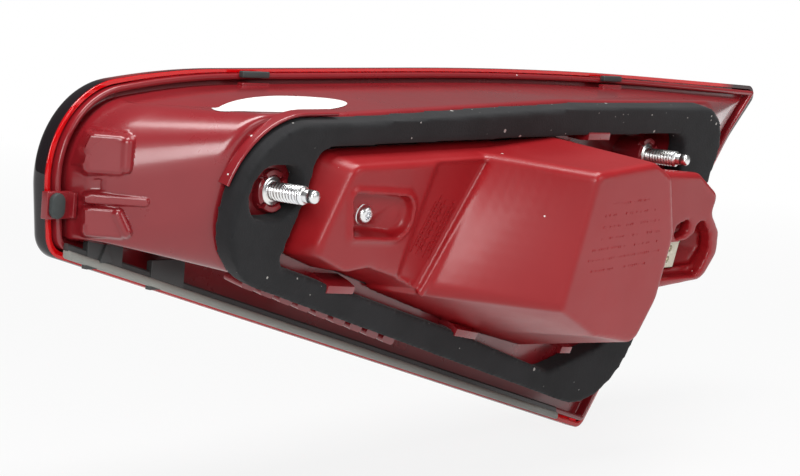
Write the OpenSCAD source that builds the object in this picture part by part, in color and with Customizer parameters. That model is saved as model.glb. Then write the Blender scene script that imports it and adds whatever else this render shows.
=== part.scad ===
// Tail light cluster, seen from its mounting side.
// The origin is the outer stud's collar face on the stud's axis, +X runs along the lamp's top
// edge towards its pointed inner end, +Y points out through the lens and +Z is up.

/* [Lamp] */
// Length of the lamp along its top edge
lamp_len = 428; // [390:1:460]
// Height of the lamp between its top edge and its low corner
lamp_h = 148; // [135:1:160]
// Distance from the outer stud to the outer end of the lamp
end_reach = 59; // [52:1:66]
// Height of the top edge above the outer stud
top_rise = 40; // [37:1:44]
// Depth from the outer stud's collar face to the lens edge
rim_depth = 45; // [42:1:52]

/* [Lens] */
// Height of the lens in front of its edge at the inner end
lens_bulge = 30; // [24:1:34]
// How much lower the lens is at its outer end
lens_sweep = 22; // [10:1:23]
// Width of the rounded border of the lens
lens_round = 21; // [16:1:23]
// Wall of the lens
lens_wall = 2.6; // [2:0.1:3]
// Width of the lens's welded edge
lens_lip = 2.4; // [2:0.1:2.8]

/* [Housing] */
// Wall of the housing
housing_wall = 2.8; // [2.2:0.1:3.2]
// Gap between the lens lip and the housing flange
flange_gap = 0.6; // [0.4:0.1:0.8]
// Height of the housing flange behind the lens
flange_h = 7; // [6:0.5:9]
// Width of the groove round the housing flange
groove_w = 2.6; // [2.2:0.1:3]
// Room for the trim under the body
trim_room = 5; // [4:0.5:6]
// Height of the raised wall beside the seal
shield_h = 2.5; // [2:0.5:5]

/* [Seal and seat] */
// Angle of the seal's plane to the studs' plane
seat_tilt = 12; // [9:0.5:14]
// Length of the seal
seat_len = 274; // [255:1:285]
// Height of the seal
seat_h = 127; // [118:1:133]
// Thickness of the foam seal
seal_t = 8; // [6:0.5:10]
// Margin of housing around the seal
seat_margin = 4; // [3:0.5:5]

/* [Rear cover] */
// Height of the low end of the cover above the seal's seat
cover_low = 16; // [14:0.5:18]
// Height of the deep end of the cover above the seal's seat
cover_deep = 52; // [44:1:58]
// Height of the plug end of the cover above the seal's seat
cover_plug = 26; // [23:0.5:28]
// Wall of the cover
cover_wall = 2.4; // [2:0.1:2.8]

/* [Studs] */
// Thread diameter of the studs
stud_d = 6; // [5:0.5:8]
// Length of the thread
thread_len = 13; // [10:0.5:16]
// Length of the narrow lead at the stud's tip
lead_len = 5.4; // [4:0.2:7]
// Distance between the two studs along the lamp
stud_pitch = 213; // [205:1:218]
// Height of the inner stud above the outer stud
stud_rise = 10; // [8:0.5:12]

/* [Electrics] */
// Thickness of the circuit boards
board_t = 1.6; // [1:0.1:2]
// Spacing of the light sources along a board
led_pitch = 12; // [9:0.5:18]
// Width of the plug's cream socket
plug_w = 17; // [14:0.5:18]

/* [Hidden] */

arc_steps = 3;
over = 0.5;
fit = 0.15;

x_end = -end_reach;
z_low = top_rise - lamp_h;
rim_round = 34;
seat_out_share = 0.0766;
seat_low_share = 0.748;
seat_x0 = -seat_out_share * seat_len;
seat_z0 = -seat_low_share * seat_h;
seat_back = 2;
seat_round = 10;

// Outlines. Each row holds a corner's place along and up its outline, as shares of the
// outline's length and height, and the share of the named round that rounds it.
rim_shares = [
    [0.000, 0.908, 1.00],
    [0.130, 0.962, 11.0],
    [0.605, 1.000, 90.0],
    [1.000, 0.973, 0.12],
    [0.942, 0.818, 2.00],
    [0.713, 0.000, 0.18],
    [0.013, 0.571, 0.25]
];
seal_shares = [
    [0.000, 0.941, 2.80],
    [0.186, 0.949, 0.20],
    [0.624, 0.988, 0.20],
    [1.000, 1.000, 2.80],
    [0.978, 0.709, 6.00],
    [0.865, 0.000, 3.00],
    [0.000, 0.551, 2.50]
];
opening_shares = [
    [0.116, 0.872, 0.70],
    [0.679, 0.909, 3.00],
    [0.894, 0.913, 0.80],
    [0.922, 0.559, 2.00],
    [0.832, 0.240, 1.40],
    [0.704, 0.173, 0.90],
    [0.431, 0.358, 3.00],
    [0.091, 0.566, 0.40],
    [0.113, 0.748, 1.20]
];
window_shares = [
    [0.303, 0.795, 0.50],
    [0.480, 0.819, 0.50],
    [0.613, 0.795, 0.50],
    [0.613, 0.378, 0.50],
    [0.515, 0.378, 0.50],
    [0.303, 0.528, 0.50]
];
low_base_shares = [
    [0.131, 0.854, 0.60],
    [0.478, 0.882, 0.60],
    [0.496, 0.354, 0.60],
    [0.376, 0.417, 0.90],
    [0.285, 0.480, 0.90],
    [0.223, 0.520, 0.90],
    [0.175, 0.539, 0.90],
    [0.109, 0.587, 0.40]
];
low_top_shares = [
    [0.151, 0.846, 0.50],
    [0.478, 0.870, 0.50],
    [0.496, 0.394, 0.50],
    [0.376, 0.457, 0.80],
    [0.285, 0.531, 0.80],
    [0.223, 0.567, 0.80],
    [0.182, 0.559, 0.80],
    [0.115, 0.614, 0.40]
];
deep_base_shares = [
    [0.398, 0.858, 0.40],
    [0.573, 0.894, 0.80],
    [0.631, 0.882, 0.50],
    [0.682, 0.724, 1.20],
    [0.690, 0.512, 1.20],
    [0.672, 0.236, 0.60],
    [0.518, 0.316, 0.50],
    [0.285, 0.475, 0.40]
];
deep_top_shares = [
    [0.445, 0.909, 0.40],
    [0.573, 0.937, 0.80],
    [0.617, 0.898, 0.50],
    [0.661, 0.724, 1.20],
    [0.661, 0.535, 1.20],
    [0.635, 0.402, 0.60],
    [0.540, 0.437, 0.50],
    [0.440, 0.528, 0.40]
];
plug_base_shares = [
    [0.615, 0.860, 0.40],
    [0.792, 0.795, 0.60],
    [0.855, 0.735, 0.50],
    [0.860, 0.690, 0.40],
    [0.882, 0.640, 0.40],
    [0.876, 0.559, 0.60],
    [0.850, 0.433, 0.70],
    [0.807, 0.354, 0.80],
    [0.610, 0.296, 0.40]
];
plug_top_shares = [
    [0.610, 0.846, 0.40],
    [0.850, 0.834, 0.60],
    [0.916, 0.764, 0.50],
    [0.911, 0.709, 0.40],
    [0.945, 0.646, 0.50],
    [0.956, 0.575, 0.60],
    [0.934, 0.488, 0.70],
    [0.825, 0.472, 0.80],
    [0.610, 0.433, 0.40]
];

plug_window_shares = [
    [0.878, 0.681, 0.20],
    [0.896, 0.681, 0.20],
    [0.923, 0.638, 0.40],
    [0.936, 0.583, 0.40],
    [0.921, 0.504, 0.40],
    [0.770, 0.504, 0.20],
    [0.770, 0.614, 0.20],
    [0.854, 0.622, 0.20],
    [0.874, 0.638, 0.20]
];

// Corners as [x, z, round]
function rim_corners() = [for (s = rim_shares)
    [x_end + s[0] * lamp_len, z_low + s[1] * lamp_h, s[2] * rim_round]];
function seat_corners(shares) = [for (s = shares)
    [seat_x0 + s[0] * seat_len, seat_z0 + s[1] * seat_h, s[2] * seat_round]];

function flat(p) = [p[0], p[1]];
function unit(v) = v / norm(v);
function cross2(a, b) = a[0] * b[1] - a[1] * b[0];
// Inward normal of an edge of an outline that runs clockwise
function inward(a, b) = let(e = unit(flat(b) - flat(a))) [e[1], -e[0]];
function meet(p, u, q, v) = p + u * (cross2(q - p, v) / cross2(u, v));
// The outline moved inwards by d, edge by edge
function inset(c, d) = let(n = len(c)) [for (i = [0:n - 1])
    let(
        a = c[(i + n - 1) % n],
        b = c[i],
        e = c[(i + 1) % n],
        n1 = inward(a, b),
        n2 = inward(b, e),
        p = meet(flat(a) + n1 * d, flat(b) - flat(a), flat(b) + n2 * d, flat(e) - flat(b)),
        turn = cross2(flat(b) - flat(a), flat(e) - flat(b))
    )
    [p[0], p[1], max(c[i][2] + (turn < 0 ? -d : d), over)]];
// One corner as an arc that is tangent to both of its edges
function corner_arc(a, b, e) =
    let(
        u = unit(flat(a) - flat(b)),
        w = unit(flat(e) - flat(b)),
        half = acos(u * w) / 2,
        reach = min(b[2] / tan(half), norm(flat(a) - flat(b)) * 0.6, norm(flat(e) - flat(b)) * 0.6),
        r = reach * tan(half),
        mid = flat(b) + unit(u + w) * (r / sin(half)),
        from = flat(b) + u * reach - mid,
        to = flat(b) + w * reach - mid,
        a0 = atan2(from[1], from[0]),
        sweep = atan2(cross2(from, to), from * to)
    )
    [for (k = [0:arc_steps]) mid + r * [cos(a0 + sweep * k / arc_steps), sin(a0 + sweep * k / arc_steps)]];
function rounded(c) = let(n = len(c)) [for (i = [0:n - 1])
    for (p = corner_arc(c[(i + n - 1) % n], c[i], c[(i + 1) % n])) p];

// The same outline with its longer edges divided, so that twisted faces stay smooth
edge_steps = 3;
function refined(c) = let(q = rounded(c), m = len(q)) [for (i = [0:m - 1])
    let(n = (i + 1) % (arc_steps + 1) == 0 ? edge_steps : 1)
    for (k = [0:n - 1]) q[i] + (q[(i + 1) % m] - q[i]) * k / n];
function tilted(p, y) = [p[0], y * cos(seat_tilt) - p[1] * sin(seat_tilt), y * sin(seat_tilt) + p[1] * cos(seat_tilt)];

// Rings of points: level ones lie in a plane square to the studs, seat ones in the seal's plane
function level_ring(c, y) = [for (p = rounded(c)) [p[0], y, p[1]]];
function seat_ring(c, y) = [for (p = rounded(c)) tilted(p, y)];
function swept_ring(c, y, sweep) = [for (p = rounded(c))
    [p[0], y - sweep * (x_end + lamp_len - p[0]) / lamp_len, p[1]]];

// A closed skin through rings with the same number of points, from the mounting side onwards
module skin(rings) {
    n = len(rings[0]);
    m = len(rings);
    sides = [for (i = [0:m - 2]) for (j = [0:n - 1]) for (t = [0, 1])
        t == 0
            ? [i * n + j, (i + 1) * n + j, i * n + (j + 1) % n]
            : [(i + 1) * n + j, (i + 1) * n + (j + 1) % n, i * n + (j + 1) % n]];
    first = [for (j = [0:n - 1]) j];
    last = [for (j = [n - 1:-1:0]) (m - 1) * n + j];
    polyhedron(points = [for (r = rings) for (p = r) p], faces = concat(sides, [first], [last]));
}

// A flat prism with an outline, from y to y + t
module slab(c, y, t) {
    translate([0, y + t, 0])
        rotate([90, 0, 0])
            linear_extrude(t)
                polygon(rounded(c));
}

// A round bar along Y from y to y + t
module bar(x, z, r, y, t, sides = 32) {
    translate([x, y + t, z])
        rotate([90, 0, 0])
            cylinder(r = r, h = t, $fn = sides);
}

// A block with its low corner at x, y, z
module block(x, y, z, w, t, h) {
    translate([x, y, z])
        cube([w, t, h]);
}

// Two equal bars joined into a slot shape
module slot_bar(x1, z1, x2, z2, r, y, t, sides = 24) {
    hull() {
        bar(x1, z1, r, y, t, sides);
        bar(x2, z2, r, y, t, sides);
    }
}

module in_seat() {
    rotate([seat_tilt, 0, 0])
        children();
}

// Housing: one moulded shell with its flange, groove, bosses, pads, tabs, teeth and hooks
flange_in = lens_lip + flange_gap;
flange_t = 2;
weld_t = 3;
weld_rise = 2;
weld_y = rim_depth + weld_rise;
groove_y = weld_y - weld_t;
body_in = flange_in + flange_t + groove_w;
body_step = 0.5;
neck_drop = 9;
body_drop = 15;
neck_y = rim_depth - neck_drop;
body_y = rim_depth - body_drop;
shoulder = 24;
boss_r = 6.75;
boss_in = 16;
collar_r = 4.75;
collar_t = 1.5;
crown_h = 0.6;
shank_more = 0.4;
shank_r = stud_d / 2 + shank_more;
shank_len = 12;

function raised(c, dz) = let(n = len(c)) [for (i = [0:n - 1])
    i < n - 2 ? c[i] : [c[i][0], c[i][1] + dz, c[i][2]]];
function body_corners(d) = raised(inset(rim_corners(), d), trim_room);
function body_seat() = let(c = inset(seat_corners(seal_shares), -seat_margin)) [for (i = [0:len(c) - 1])
    i == 3 ? c[i] + [shoulder, 0, 0] : i == 4 ? c[i] + [shoulder / 2, 0, 0] : c[i]];
// Height of the lamp's top and low edges at a place along it
function rim_x(i) = x_end + rim_shares[i][0] * lamp_len;
function rim_z(i) = z_low + rim_shares[i][1] * lamp_h;
function edge_z(i, j, x) = rim_z(i) + (rim_z(j) - rim_z(i)) * (x - rim_x(i)) / (rim_x(j) - rim_x(i));
function top_z(x) = x < rim_x(2) ? edge_z(1, 2, x) : edge_z(2, 3, x);
function foot_z(x) = edge_z(6, 5, x);

module housing_shell() {
    skin([
        seat_ring(body_seat(), seat_back),
        level_ring(body_corners(body_in + 2 * body_step), body_y),
        level_ring(body_corners(body_in + body_step), neck_y),
        level_ring(body_corners(body_in), groove_y),
        level_ring(inset(rim_corners(), flange_in + flange_t), groove_y),
        level_ring(inset(rim_corners(), flange_in + flange_t), weld_y - flange_h),
        level_ring(inset(rim_corners(), flange_in), weld_y - flange_h),
        level_ring(inset(rim_corners(), flange_in), weld_y),
        level_ring(body_corners(body_in + housing_wall), weld_y),
        level_ring(body_corners(body_in + body_step + housing_wall), neck_y),
        level_ring(body_corners(body_in + 2 * body_step + housing_wall), body_y),
        seat_ring(inset(body_seat(), housing_wall), seat_back + housing_wall)
    ]);
}

module stud_seat(x, z) {
    bar(x, z, boss_r, collar_t, boss_in - collar_t);
}

module stud_bore(x, z) {
    bar(x, z, shank_r + fit, collar_t - over, shank_len + fit);
    bar(x, z, collar_r + fit, -crown_h - over, collar_t + crown_h + over);
}

// The castellated ring round a stud's collar
crown_slots = 4;
crown_slot_w = 2;
module stud_crown(x, z) {
    difference() {
        bar(x, z, boss_r, -crown_h, collar_t + crown_h + over);
        for (k = [0:crown_slots - 1])
            translate([x, 0, z])
                rotate([0, (k + 0.5) * 360 / crown_slots, 0])
                    block(collar_r, -crown_h - over, -crown_slot_w / 2, boss_r, crown_h + over, crown_slot_w);
    }
}

// Raised pads and the finger on the sloped outer end
end_lean = 2;
end_x = x_end + body_in + 2 * body_step + end_lean;
end_y = body_y;
end_slope = atan((end_y - seat_back) / (seat_x0 - seat_margin - end_x));
pad_t = 1.8;
pad_start = -2;
pad_len = 13;
pad_h = 12.5;
pad_z = 2.5;
low_pad_z = -17.5;
low_pad_h = 10.5;
roll_r = 2.6;
module on_end(shift) {
    translate([end_x + shift, end_y, 0])
        rotate([0, 0, -end_slope])
            children();
}

module end_pad(z, h, lean, shift) {
    on_end(shift) {
        block(pad_start, -pad_t, z, pad_len, 2 * pad_t, h);
        hull() {
            translate([pad_start + pad_len + lean, 0, z + roll_r])
                sphere(r = roll_r, $fn = 12);
            translate([pad_start + pad_len, 0, z + h - roll_r])
                sphere(r = roll_r, $fn = 12);
        }
    }
}

finger_len = 19;
finger_z = -2.6;
finger_drop = 4;
finger_r = 2;
finger_tip_r = 1.5;
module end_finger() {
    on_end(end_lean)
        hull() {
            translate([finger_r + pad_start, 0, finger_z])
                sphere(r = finger_r, $fn = 12);
            translate([finger_len, 0, finger_z - finger_drop])
                sphere(r = finger_tip_r, $fn = 12);
        }
}

// Tabs over the groove that carry the rubber buffers
tab_t = 2;
tab_y = weld_y - flange_h - tab_t;
end_tab_z = -12.5;
end_tab_w = 11;
end_tab_h = 9.5;
top_tab_x = 24;
top_tab_w = 13;
buffer_pitch = 212;
module end_tab() {
    block(x_end + flange_in, tab_y, end_tab_z, end_tab_w, tab_t + over, end_tab_h);
}

module top_tab(x) {
    block(x, tab_y, top_z(x) - body_in - over, top_tab_w, tab_t + over, groove_w + 2 * over);
}

// The teeth under the seal's lower edge
tooth_count = 9;
tooth_r = 1.2;
tooth_len = 5.5;
tooth_pitch = 8.7;
tooth_drop = 1.4;
tooth_fall = 1;
low_slope = atan((seal_shares[6][1] - seal_shares[5][1]) * seat_h / (seal_shares[5][0] * seat_len));
low_edge_z = seat_z0 + seal_shares[6][1] * seat_h;
module seat_teeth() {
    for (k = [0:tooth_count - 1])
        translate([k * tooth_pitch, 0, low_edge_z - (k * tooth_pitch - seat_x0) * tan(low_slope) - seat_margin])
            slot_bar(0, -tooth_drop, tooth_len, -tooth_drop - tooth_fall, tooth_r, seat_back, flange_h, 12);
}

// Hooks of the housing that hold the cover's lower and upper edges
hook_w = 8;
hook_t = 1.2;
hook_out = 7;
hook_shares = [
    [0.262, 0.449, -17],
    [0.529, 0.291, -17],
    [0.712, 0.205, -17],
    [0.679, 0.898, 0]
];
module hook(s) {
    translate([seat_x0 + s[0] * seat_len, seat_back, seat_z0 + s[1] * seat_h])
        rotate([0, -s[2], 0])
            hull() {
                block(0, -hook_out, 0, hook_w, hook_out + over, hook_t);
                block(0, -over, -hook_t, hook_w, 2 * over, 2 * hook_t);
            }
}

// The raised wall beside the seal's upper outer corner
shield_t = 1.6;
shield_gap = 0.8;
shield_w = 52;
shield_z = 6;
module seat_shield() {
    intersection() {
        difference() {
            slab(inset(seat_corners(seal_shares), -shield_gap - shield_t), seat_back - shield_h, shield_h + over);
            slab(inset(seat_corners(seal_shares), -shield_gap), seat_back - shield_h - over, shield_h + 3 * over);
        }
        block(seat_x0 - seat_margin, seat_back - shield_h, shield_z, shield_w, shield_h + over, shield_w);
    }
}

screw_x = 38;
screw_z = -6;
screw_boss_r = 4.2;
pocket_depth = 5;
pocket_y = seat_back - cover_low + pocket_depth;
module housing() {
    color("firebrick")
        difference() {
            union() {
                housing_shell();
                stud_seat(0, 0);
                stud_seat(stud_pitch, stud_rise);
                stud_crown(0, 0);
                stud_crown(stud_pitch, stud_rise);
                in_seat() {
                    bar(screw_x, screw_z, screw_boss_r, pocket_y + cover_wall, seat_back - pocket_y);
                    seat_shield();
                    seat_teeth();
                    for (s = hook_shares)
                        hook(s);
                }
                end_pad(pad_z, pad_h, 0, 0);
                end_pad(low_pad_z, low_pad_h, roll_r, end_lean);
                end_finger();
                end_tab();
                top_tab(top_tab_x);
                top_tab(top_tab_x + buffer_pitch);
            }
            stud_bore(0, 0);
            stud_bore(stud_pitch, stud_rise);
            in_seat() {
                slab(seat_corners(window_shares), seat_back - over, housing_wall + 2 * over);
                bar(screw_x, screw_z, screw_core_r + fit, pocket_y, screw_len);
            }
        }
}

// Foam seal, one closed loop with a slot for the outer stud
slot_x = -4;
slot_z = 1;
slot_share = 0.0328;
slot_r = slot_share * seat_len;
slot_run = 6;
module foam_seal() {
    color("darkslategray")
        in_seat()
            difference() {
                slab(seat_corners(seal_shares), seat_back - seal_t, seal_t);
                slab(seat_corners(opening_shares), seat_back - seal_t - over, seal_t + 2 * over);
                slot_bar(slot_x - slot_run / 2, slot_z, slot_x + slot_run / 2, slot_z, slot_r,
                    seat_back - seal_t - over, seal_t + 2 * over);
                for (s = hook_shares)
                    hook(s);
            }
}

// Rear cover: three stepped hollows that open into each other
cover_seal_t = 1;
cover_y = seat_back - cover_seal_t;
edge_soft = 2;
soft_share = 0.3;
function lerp_corners(a, b, t) = [for (i = [0:len(a) - 1]) a[i] + (b[i] - a[i]) * t];

block_steps = 3;
function cover_ring(c, y, fine) = [for (p = fine ? refined(c) : rounded(c)) [p[0], y, p[1]]];
module cover_block(base, top, height, wall, fine) {
    b = inset(seat_corners(base), wall);
    t = inset(seat_corners(top), wall);
    y = seat_back - height + wall;
    soft_y = y + edge_soft;
    steps = fine ? block_steps : 1;
    skin(concat(
        [cover_ring(inset(t, edge_soft), y, fine)],
        [cover_ring(inset(t, soft_share * edge_soft), y + soft_share * edge_soft, fine)],
        [for (k = [0:steps - 1])
            cover_ring(lerp_corners(t, b, k / steps), soft_y + (cover_y - soft_y) * k / steps, fine)],
        [cover_ring(b, cover_y + (wall > 0 ? cover_seal_t + over : 0), fine)]
    ));
}

module cover_blocks(wall) {
    cover_block(low_base_shares, low_top_shares, cover_low, wall, false);
    cover_block(deep_base_shares, deep_top_shares, cover_deep, wall, true);
    cover_block(plug_base_shares, plug_top_shares, cover_plug, wall, false);
}

// The screw's pocket, with a shallow run-out beside it
pocket_x = 33;
pocket_z = -4.5;
pocket_r = 8.5;
runout_x = 47;
runout_r = 5;
runout_depth = 1;
module screw_pocket(grow) {
    bar(pocket_x, pocket_z, pocket_r + grow, seat_back - cover_low - over, pocket_depth + over + grow, 24);
    hull() {
        bar(pocket_x, pocket_z, pocket_r - runout_depth + grow, seat_back - cover_low - over,
            runout_depth + over + grow, 24);
        bar(runout_x, pocket_z, runout_r + grow, seat_back - cover_low - over, runout_depth + over + grow, 24);
    }
}

// Plain bars in relief where the real cover carries moulded print
mark_r = 0.5;
mark_len = 9;
mark_rows = 9;
mark_pitch = 1.9;
mark_h = 0.3;
mark_x = 68.5;
mark_z = 2;
mark_lean = 0.45;
mark_fall = 1.5;
module cover_marks() {
    for (k = [0:mark_rows - 1])
        slot_bar(mark_x - mark_lean * k * mark_pitch, mark_z - k * mark_pitch,
            mark_x - mark_lean * k * mark_pitch + mark_len, mark_z - mark_fall - k * mark_pitch,
            mark_r, seat_back - cover_low + panel_drop - mark_h, mark_h + over, 8);
}

// The lower panel between the screw's panel and the deep end
panel_drop = 0.8;
panel_shares = [
    [0.285, 0.850, 0.20],
    [0.420, 0.860, 0.20],
    [0.345, 0.500, 0.20],
    [0.235, 0.580, 0.20]
];
module low_panel() {
    hull() {
        slab(seat_corners(panel_shares), seat_back - cover_low - over, over);
        slab(inset(seat_corners(panel_shares), panel_drop), seat_back - cover_low, panel_drop);
    }
}

// Round opening beside the plug's opening
vent_x = 207.5;
vent_z = -11.8;
vent_run = 3.5;
vent_rise = 1;
vent_r = 3.2;
module rear_cover() {
    color("brown")
        in_seat()
            cover_shell();
}

module cover_shell() {
    difference() {
        union() {
            difference() {
                cover_blocks(0);
                screw_pocket(0);
                low_panel();
            }
            cover_marks();
        }
        difference() {
            cover_blocks(cover_wall);
            screw_pocket(cover_wall);
        }
        bar(screw_x, screw_z, screw_core_r + 3 * fit, pocket_y - over, cover_wall + 2 * over, 24);
        slab(seat_corners(plug_window_shares), seat_back - cover_plug - over, cover_wall + 3 * over);
        slot_bar(vent_x, vent_z, vent_x + vent_run, vent_z + vent_rise, vent_r, seat_back - cover_plug - over,
            cover_wall + 3 * over);
    }
}

// Rubber cord under the cover's edge
seal_w = 2;
seal_in = 0.2;
module cover_footprint(d) {
    polygon(rounded(inset(seat_corners(low_base_shares), d)));
    polygon(rounded(inset(seat_corners(deep_base_shares), d)));
    polygon(rounded(inset(seat_corners(plug_base_shares), d)));
}

module cover_seal() {
    color("black")
        in_seat()
            translate([0, seat_back, 0])
                rotate([90, 0, 0])
                    linear_extrude(cover_seal_t)
                        difference() {
                            cover_footprint(seal_in);
                            cover_footprint(seal_in + seal_w);
                        }
}

// Cover screw with a low round head
screw_head_r = 3.2;
screw_head_h = 2.6;
screw_core_r = 1.75;
screw_len = 8;
drive_r = 1.5;
drive_depth = 1.4;
module cover_screw() {
    color("silver")
        in_seat()
            difference() {
                union() {
                    bar(screw_x, screw_z, screw_head_r, pocket_y - screw_head_h, screw_head_h);
                    bar(screw_x, screw_z, screw_core_r, pocket_y, screw_len);
                }
                bar(screw_x, screw_z, drive_r, pocket_y - screw_head_h - over, drive_depth + over, 6);
            }
}

// Threaded studs, each with a collar, a narrow lead at its tip and a shank in the boss
lead_share = 0.72;
module stud(x, z) {
    color("gainsboro") {
        bar(x, z, collar_r, 0, collar_t);
        bar(x, z, stud_d / 2, -thread_len, thread_len);
        bar(x, z, lead_share * stud_d / 2, -thread_len - lead_len, lead_len);
        bar(x, z, shank_r, collar_t, shank_len - collar_t);
    }
}

module outer_stud() {
    stud(0, 0);
}

module inner_stud() {
    stud(stud_pitch, stud_rise);
}

// Rubber buffers that rest against the car's body
buffer_t = 2.2;
end_buffer_w = 5.6;
outer_sink = 0.25;
inner_sink = 0.35;
module end_buffer() {
    color("dimgray")
        slot_bar(x_end + flange_in + end_buffer_w / 2, end_tab_z + end_buffer_w / 2,
            x_end + flange_in + end_buffer_w / 2, end_tab_z + end_tab_h - end_buffer_w / 2,
            end_buffer_w / 2, tab_y - buffer_t, buffer_t);
}

module top_buffer(x, sink) {
    color("dimgray")
        block(x, tab_y, top_z(x) - flange_in + fit - sink, top_tab_w, buffer_t, buffer_t);
}

module top_buffer_outer() {
    top_buffer(top_tab_x, -outer_sink);
}

module top_buffer_inner() {
    top_buffer(top_tab_x + buffer_pitch, inner_sink);
}

// Blank oval label on the body's top face
label_x = 27;
label_y = 14;
label_len = 60;
label_share = 0.36;
label_t = 0.8;
label_turn = 1.2;
label_lift = 0.2;
module oval_label() {
    color("white")
        difference() {
            translate([label_x, label_y, label_z(label_y) - label_t])
                rotate([label_tilt, -label_turn, 0])
                    scale([1, label_share, 1])
                        cylinder(r = label_len / 2, h = 2 * label_t, $fn = 40);
            housing_shell();
        }
}
label_low = top_z(label_x) - body_in - 2 * body_step;
label_high = (seat_z0 + seat_h * seal_shares[1][1] + seat_margin) * cos(seat_tilt);
label_tilt = -atan((label_high - label_low) / (body_y + seat_margin));
function label_z(y) = label_low + (label_high - label_low) * (body_y - y) / (body_y + seat_margin) + label_lift;

// Lens: a clear red bowl whose foot is welded to the flange
lens_foot = 3;
lens_edge = 1;
lens_y = rim_depth + lens_edge;
lens_steps = 4;
function dome_ring(c, t, wall) = swept_ring(
    inset(c, lens_round * (1 - cos(90 * t))),
    lens_y + (lens_bulge - wall) * sin(90 * t),
    lens_sweep * sin(90 * t));
module outer_lens() {
    outer = rim_corners();
    inner = inset(rim_corners(), lens_lip);
    color("red")
        skin(concat(
            [for (k = [lens_steps:-1:1]) dome_ring(inset(outer, lens_wall), k / lens_steps, lens_wall)],
            [level_ring(inset(rim_corners(), lens_lip + lens_foot), weld_y)],
            [level_ring(inner, weld_y)],
            [level_ring(inner, rim_depth)],
            [level_ring(outer, rim_depth)],
            [for (k = [0:lens_steps]) dome_ring(outer, k / lens_steps, 0)]
        ));
}

// Black trim along the lower edge, with two standing clips
trim_in = 0.8;
trim_w = 4.6;
trim_t = 2.6;
trim_y = tab_y - trim_t + tab_t - fit;
trim_end_share = 0.655;
clip_w = 15;
clip_h = 5;
clip_lift = 2.5;
clip_x = 18;
clip_pitch = 28;
clip_t = 1.6;
trim_start = rim_x(6) + trim_w;
trim_end = x_end + trim_end_share * lamp_len;
function trim_points(d1, d2) = [
    [trim_start, foot_z(trim_start) + d2],
    [trim_end, foot_z(trim_end) + d2],
    [trim_end, foot_z(trim_end) + d1],
    [trim_start, foot_z(trim_start) + d1]
];
module trim_strip(d1, d2, y, t) {
    translate([0, y + t, 0])
        rotate([90, 0, 0])
            linear_extrude(t)
                polygon(trim_points(d1, d2));
}

module trim_clip(x) {
    block(x, trim_y, foot_z(x + clip_w) + trim_in + clip_lift, clip_w, clip_t, trim_w + clip_h);
}

module lower_trim() {
    color("dimgray") {
        trim_strip(trim_in, trim_in + trim_w, trim_y, trim_t);
        trim_clip(x_end + clip_x);
        trim_clip(x_end + clip_x + clip_pitch);
    }
}

// Inner parts, in front of the body's weld face
inner_gap = 0.4;
bezel_in = lens_lip + lens_foot + inner_gap;
bezel_w = 1.6;
bezel_h = 1.4;
tray_in = bezel_in + bezel_w + 4 * inner_gap;
tray_flange = 5.4;
tray_t = 1.5;
tray_gap = 1;
tray_slope = 9;
tray_y = 34;
tray_top = tray_y + tray_t;
module inner_bezel() {
    color("dimgray")
        difference() {
            slab(inset(rim_corners(), bezel_in), weld_y, bezel_h);
            slab(inset(rim_corners(), bezel_in + bezel_w), weld_y - over, bezel_h + 2 * over);
        }
}

module reflector_tray() {
    tray_wall = body_in + housing_wall + tray_gap;
    color("lightgray")
        skin([
            level_ring(body_corners(tray_wall + tray_slope), tray_y),
            level_ring(body_corners(tray_wall), weld_y),
            level_ring(body_corners(tray_in), weld_y),
            level_ring(body_corners(tray_in), weld_y + tray_t),
            level_ring(body_corners(tray_in + tray_flange), weld_y + tray_t),
            level_ring(body_corners(tray_wall + tray_slope + tray_t), tray_top)
        ]);
}

guide_w = 3.6;
guide_h = 2.6;
guide_x = 24;
module light_guide() {
    color("mistyrose")
        difference() {
            slab(body_corners(tray_in + inner_gap), weld_y + tray_t, guide_h);
            slab(body_corners(tray_in + inner_gap + guide_w), weld_y + tray_t - over, guide_h + 2 * over);
            block(x_end - over, weld_y + tray_t - over, z_low - over, guide_x - x_end, guide_h + 2 * over,
                lamp_h + 2 * over);
        }
}

// Boards on the tray: place and size of each, as shares of the lamp's length and height
tail_shares = [0.1846, 0.750, 0.4673, 0.0608];
stop_shares = [0.2827, 0.628, 0.3271, 0.0946];
indicator_shares = [0.3995, 0.4865, 0.2150, 0.0946];
reverse_shares = [0.5304, 0.365, 0.0981, 0.0878];
reflex_shares = [0.6565, 0.500, 0.0935, 0.1216];
function lamp_place(s) = [x_end + s[0] * lamp_len, z_low + s[1] * lamp_h, s[2] * lamp_len, s[3] * lamp_h];
tail_place = lamp_place(tail_shares);
stop_place = lamp_place(stop_shares);
indicator_place = lamp_place(indicator_shares);
reverse_place = lamp_place(reverse_shares);
reflex_place = lamp_place(reflex_shares);
led_w = 3.4;
led_t = 1;
module led_board(place) {
    color("seagreen")
        block(place[0], tray_top, place[1], place[2], board_t, place[3]);
}

module leds(place, tint) {
    count = floor(place[2] / led_pitch);
    color(tint)
        for (k = [0:count - 1])
            block(place[0] + (place[2] - (count - 1) * led_pitch) / 2 + k * led_pitch - led_w / 2, tray_top + board_t,
                place[1] + (place[3] - led_w) / 2, led_w, led_t, led_w);
}

module tail_board() {
    led_board(tail_place);
}

module stop_board() {
    led_board(stop_place);
}

module indicator_board() {
    led_board(indicator_place);
}

module reverse_board() {
    led_board(reverse_place);
}

module tail_leds() {
    leds(tail_place, "tomato");
}

module stop_leds() {
    leds(stop_place, "tomato");
}

module indicator_leds() {
    leds(indicator_place, "orange");
}

module reverse_leds() {
    leds(reverse_place, "white");
}

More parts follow.
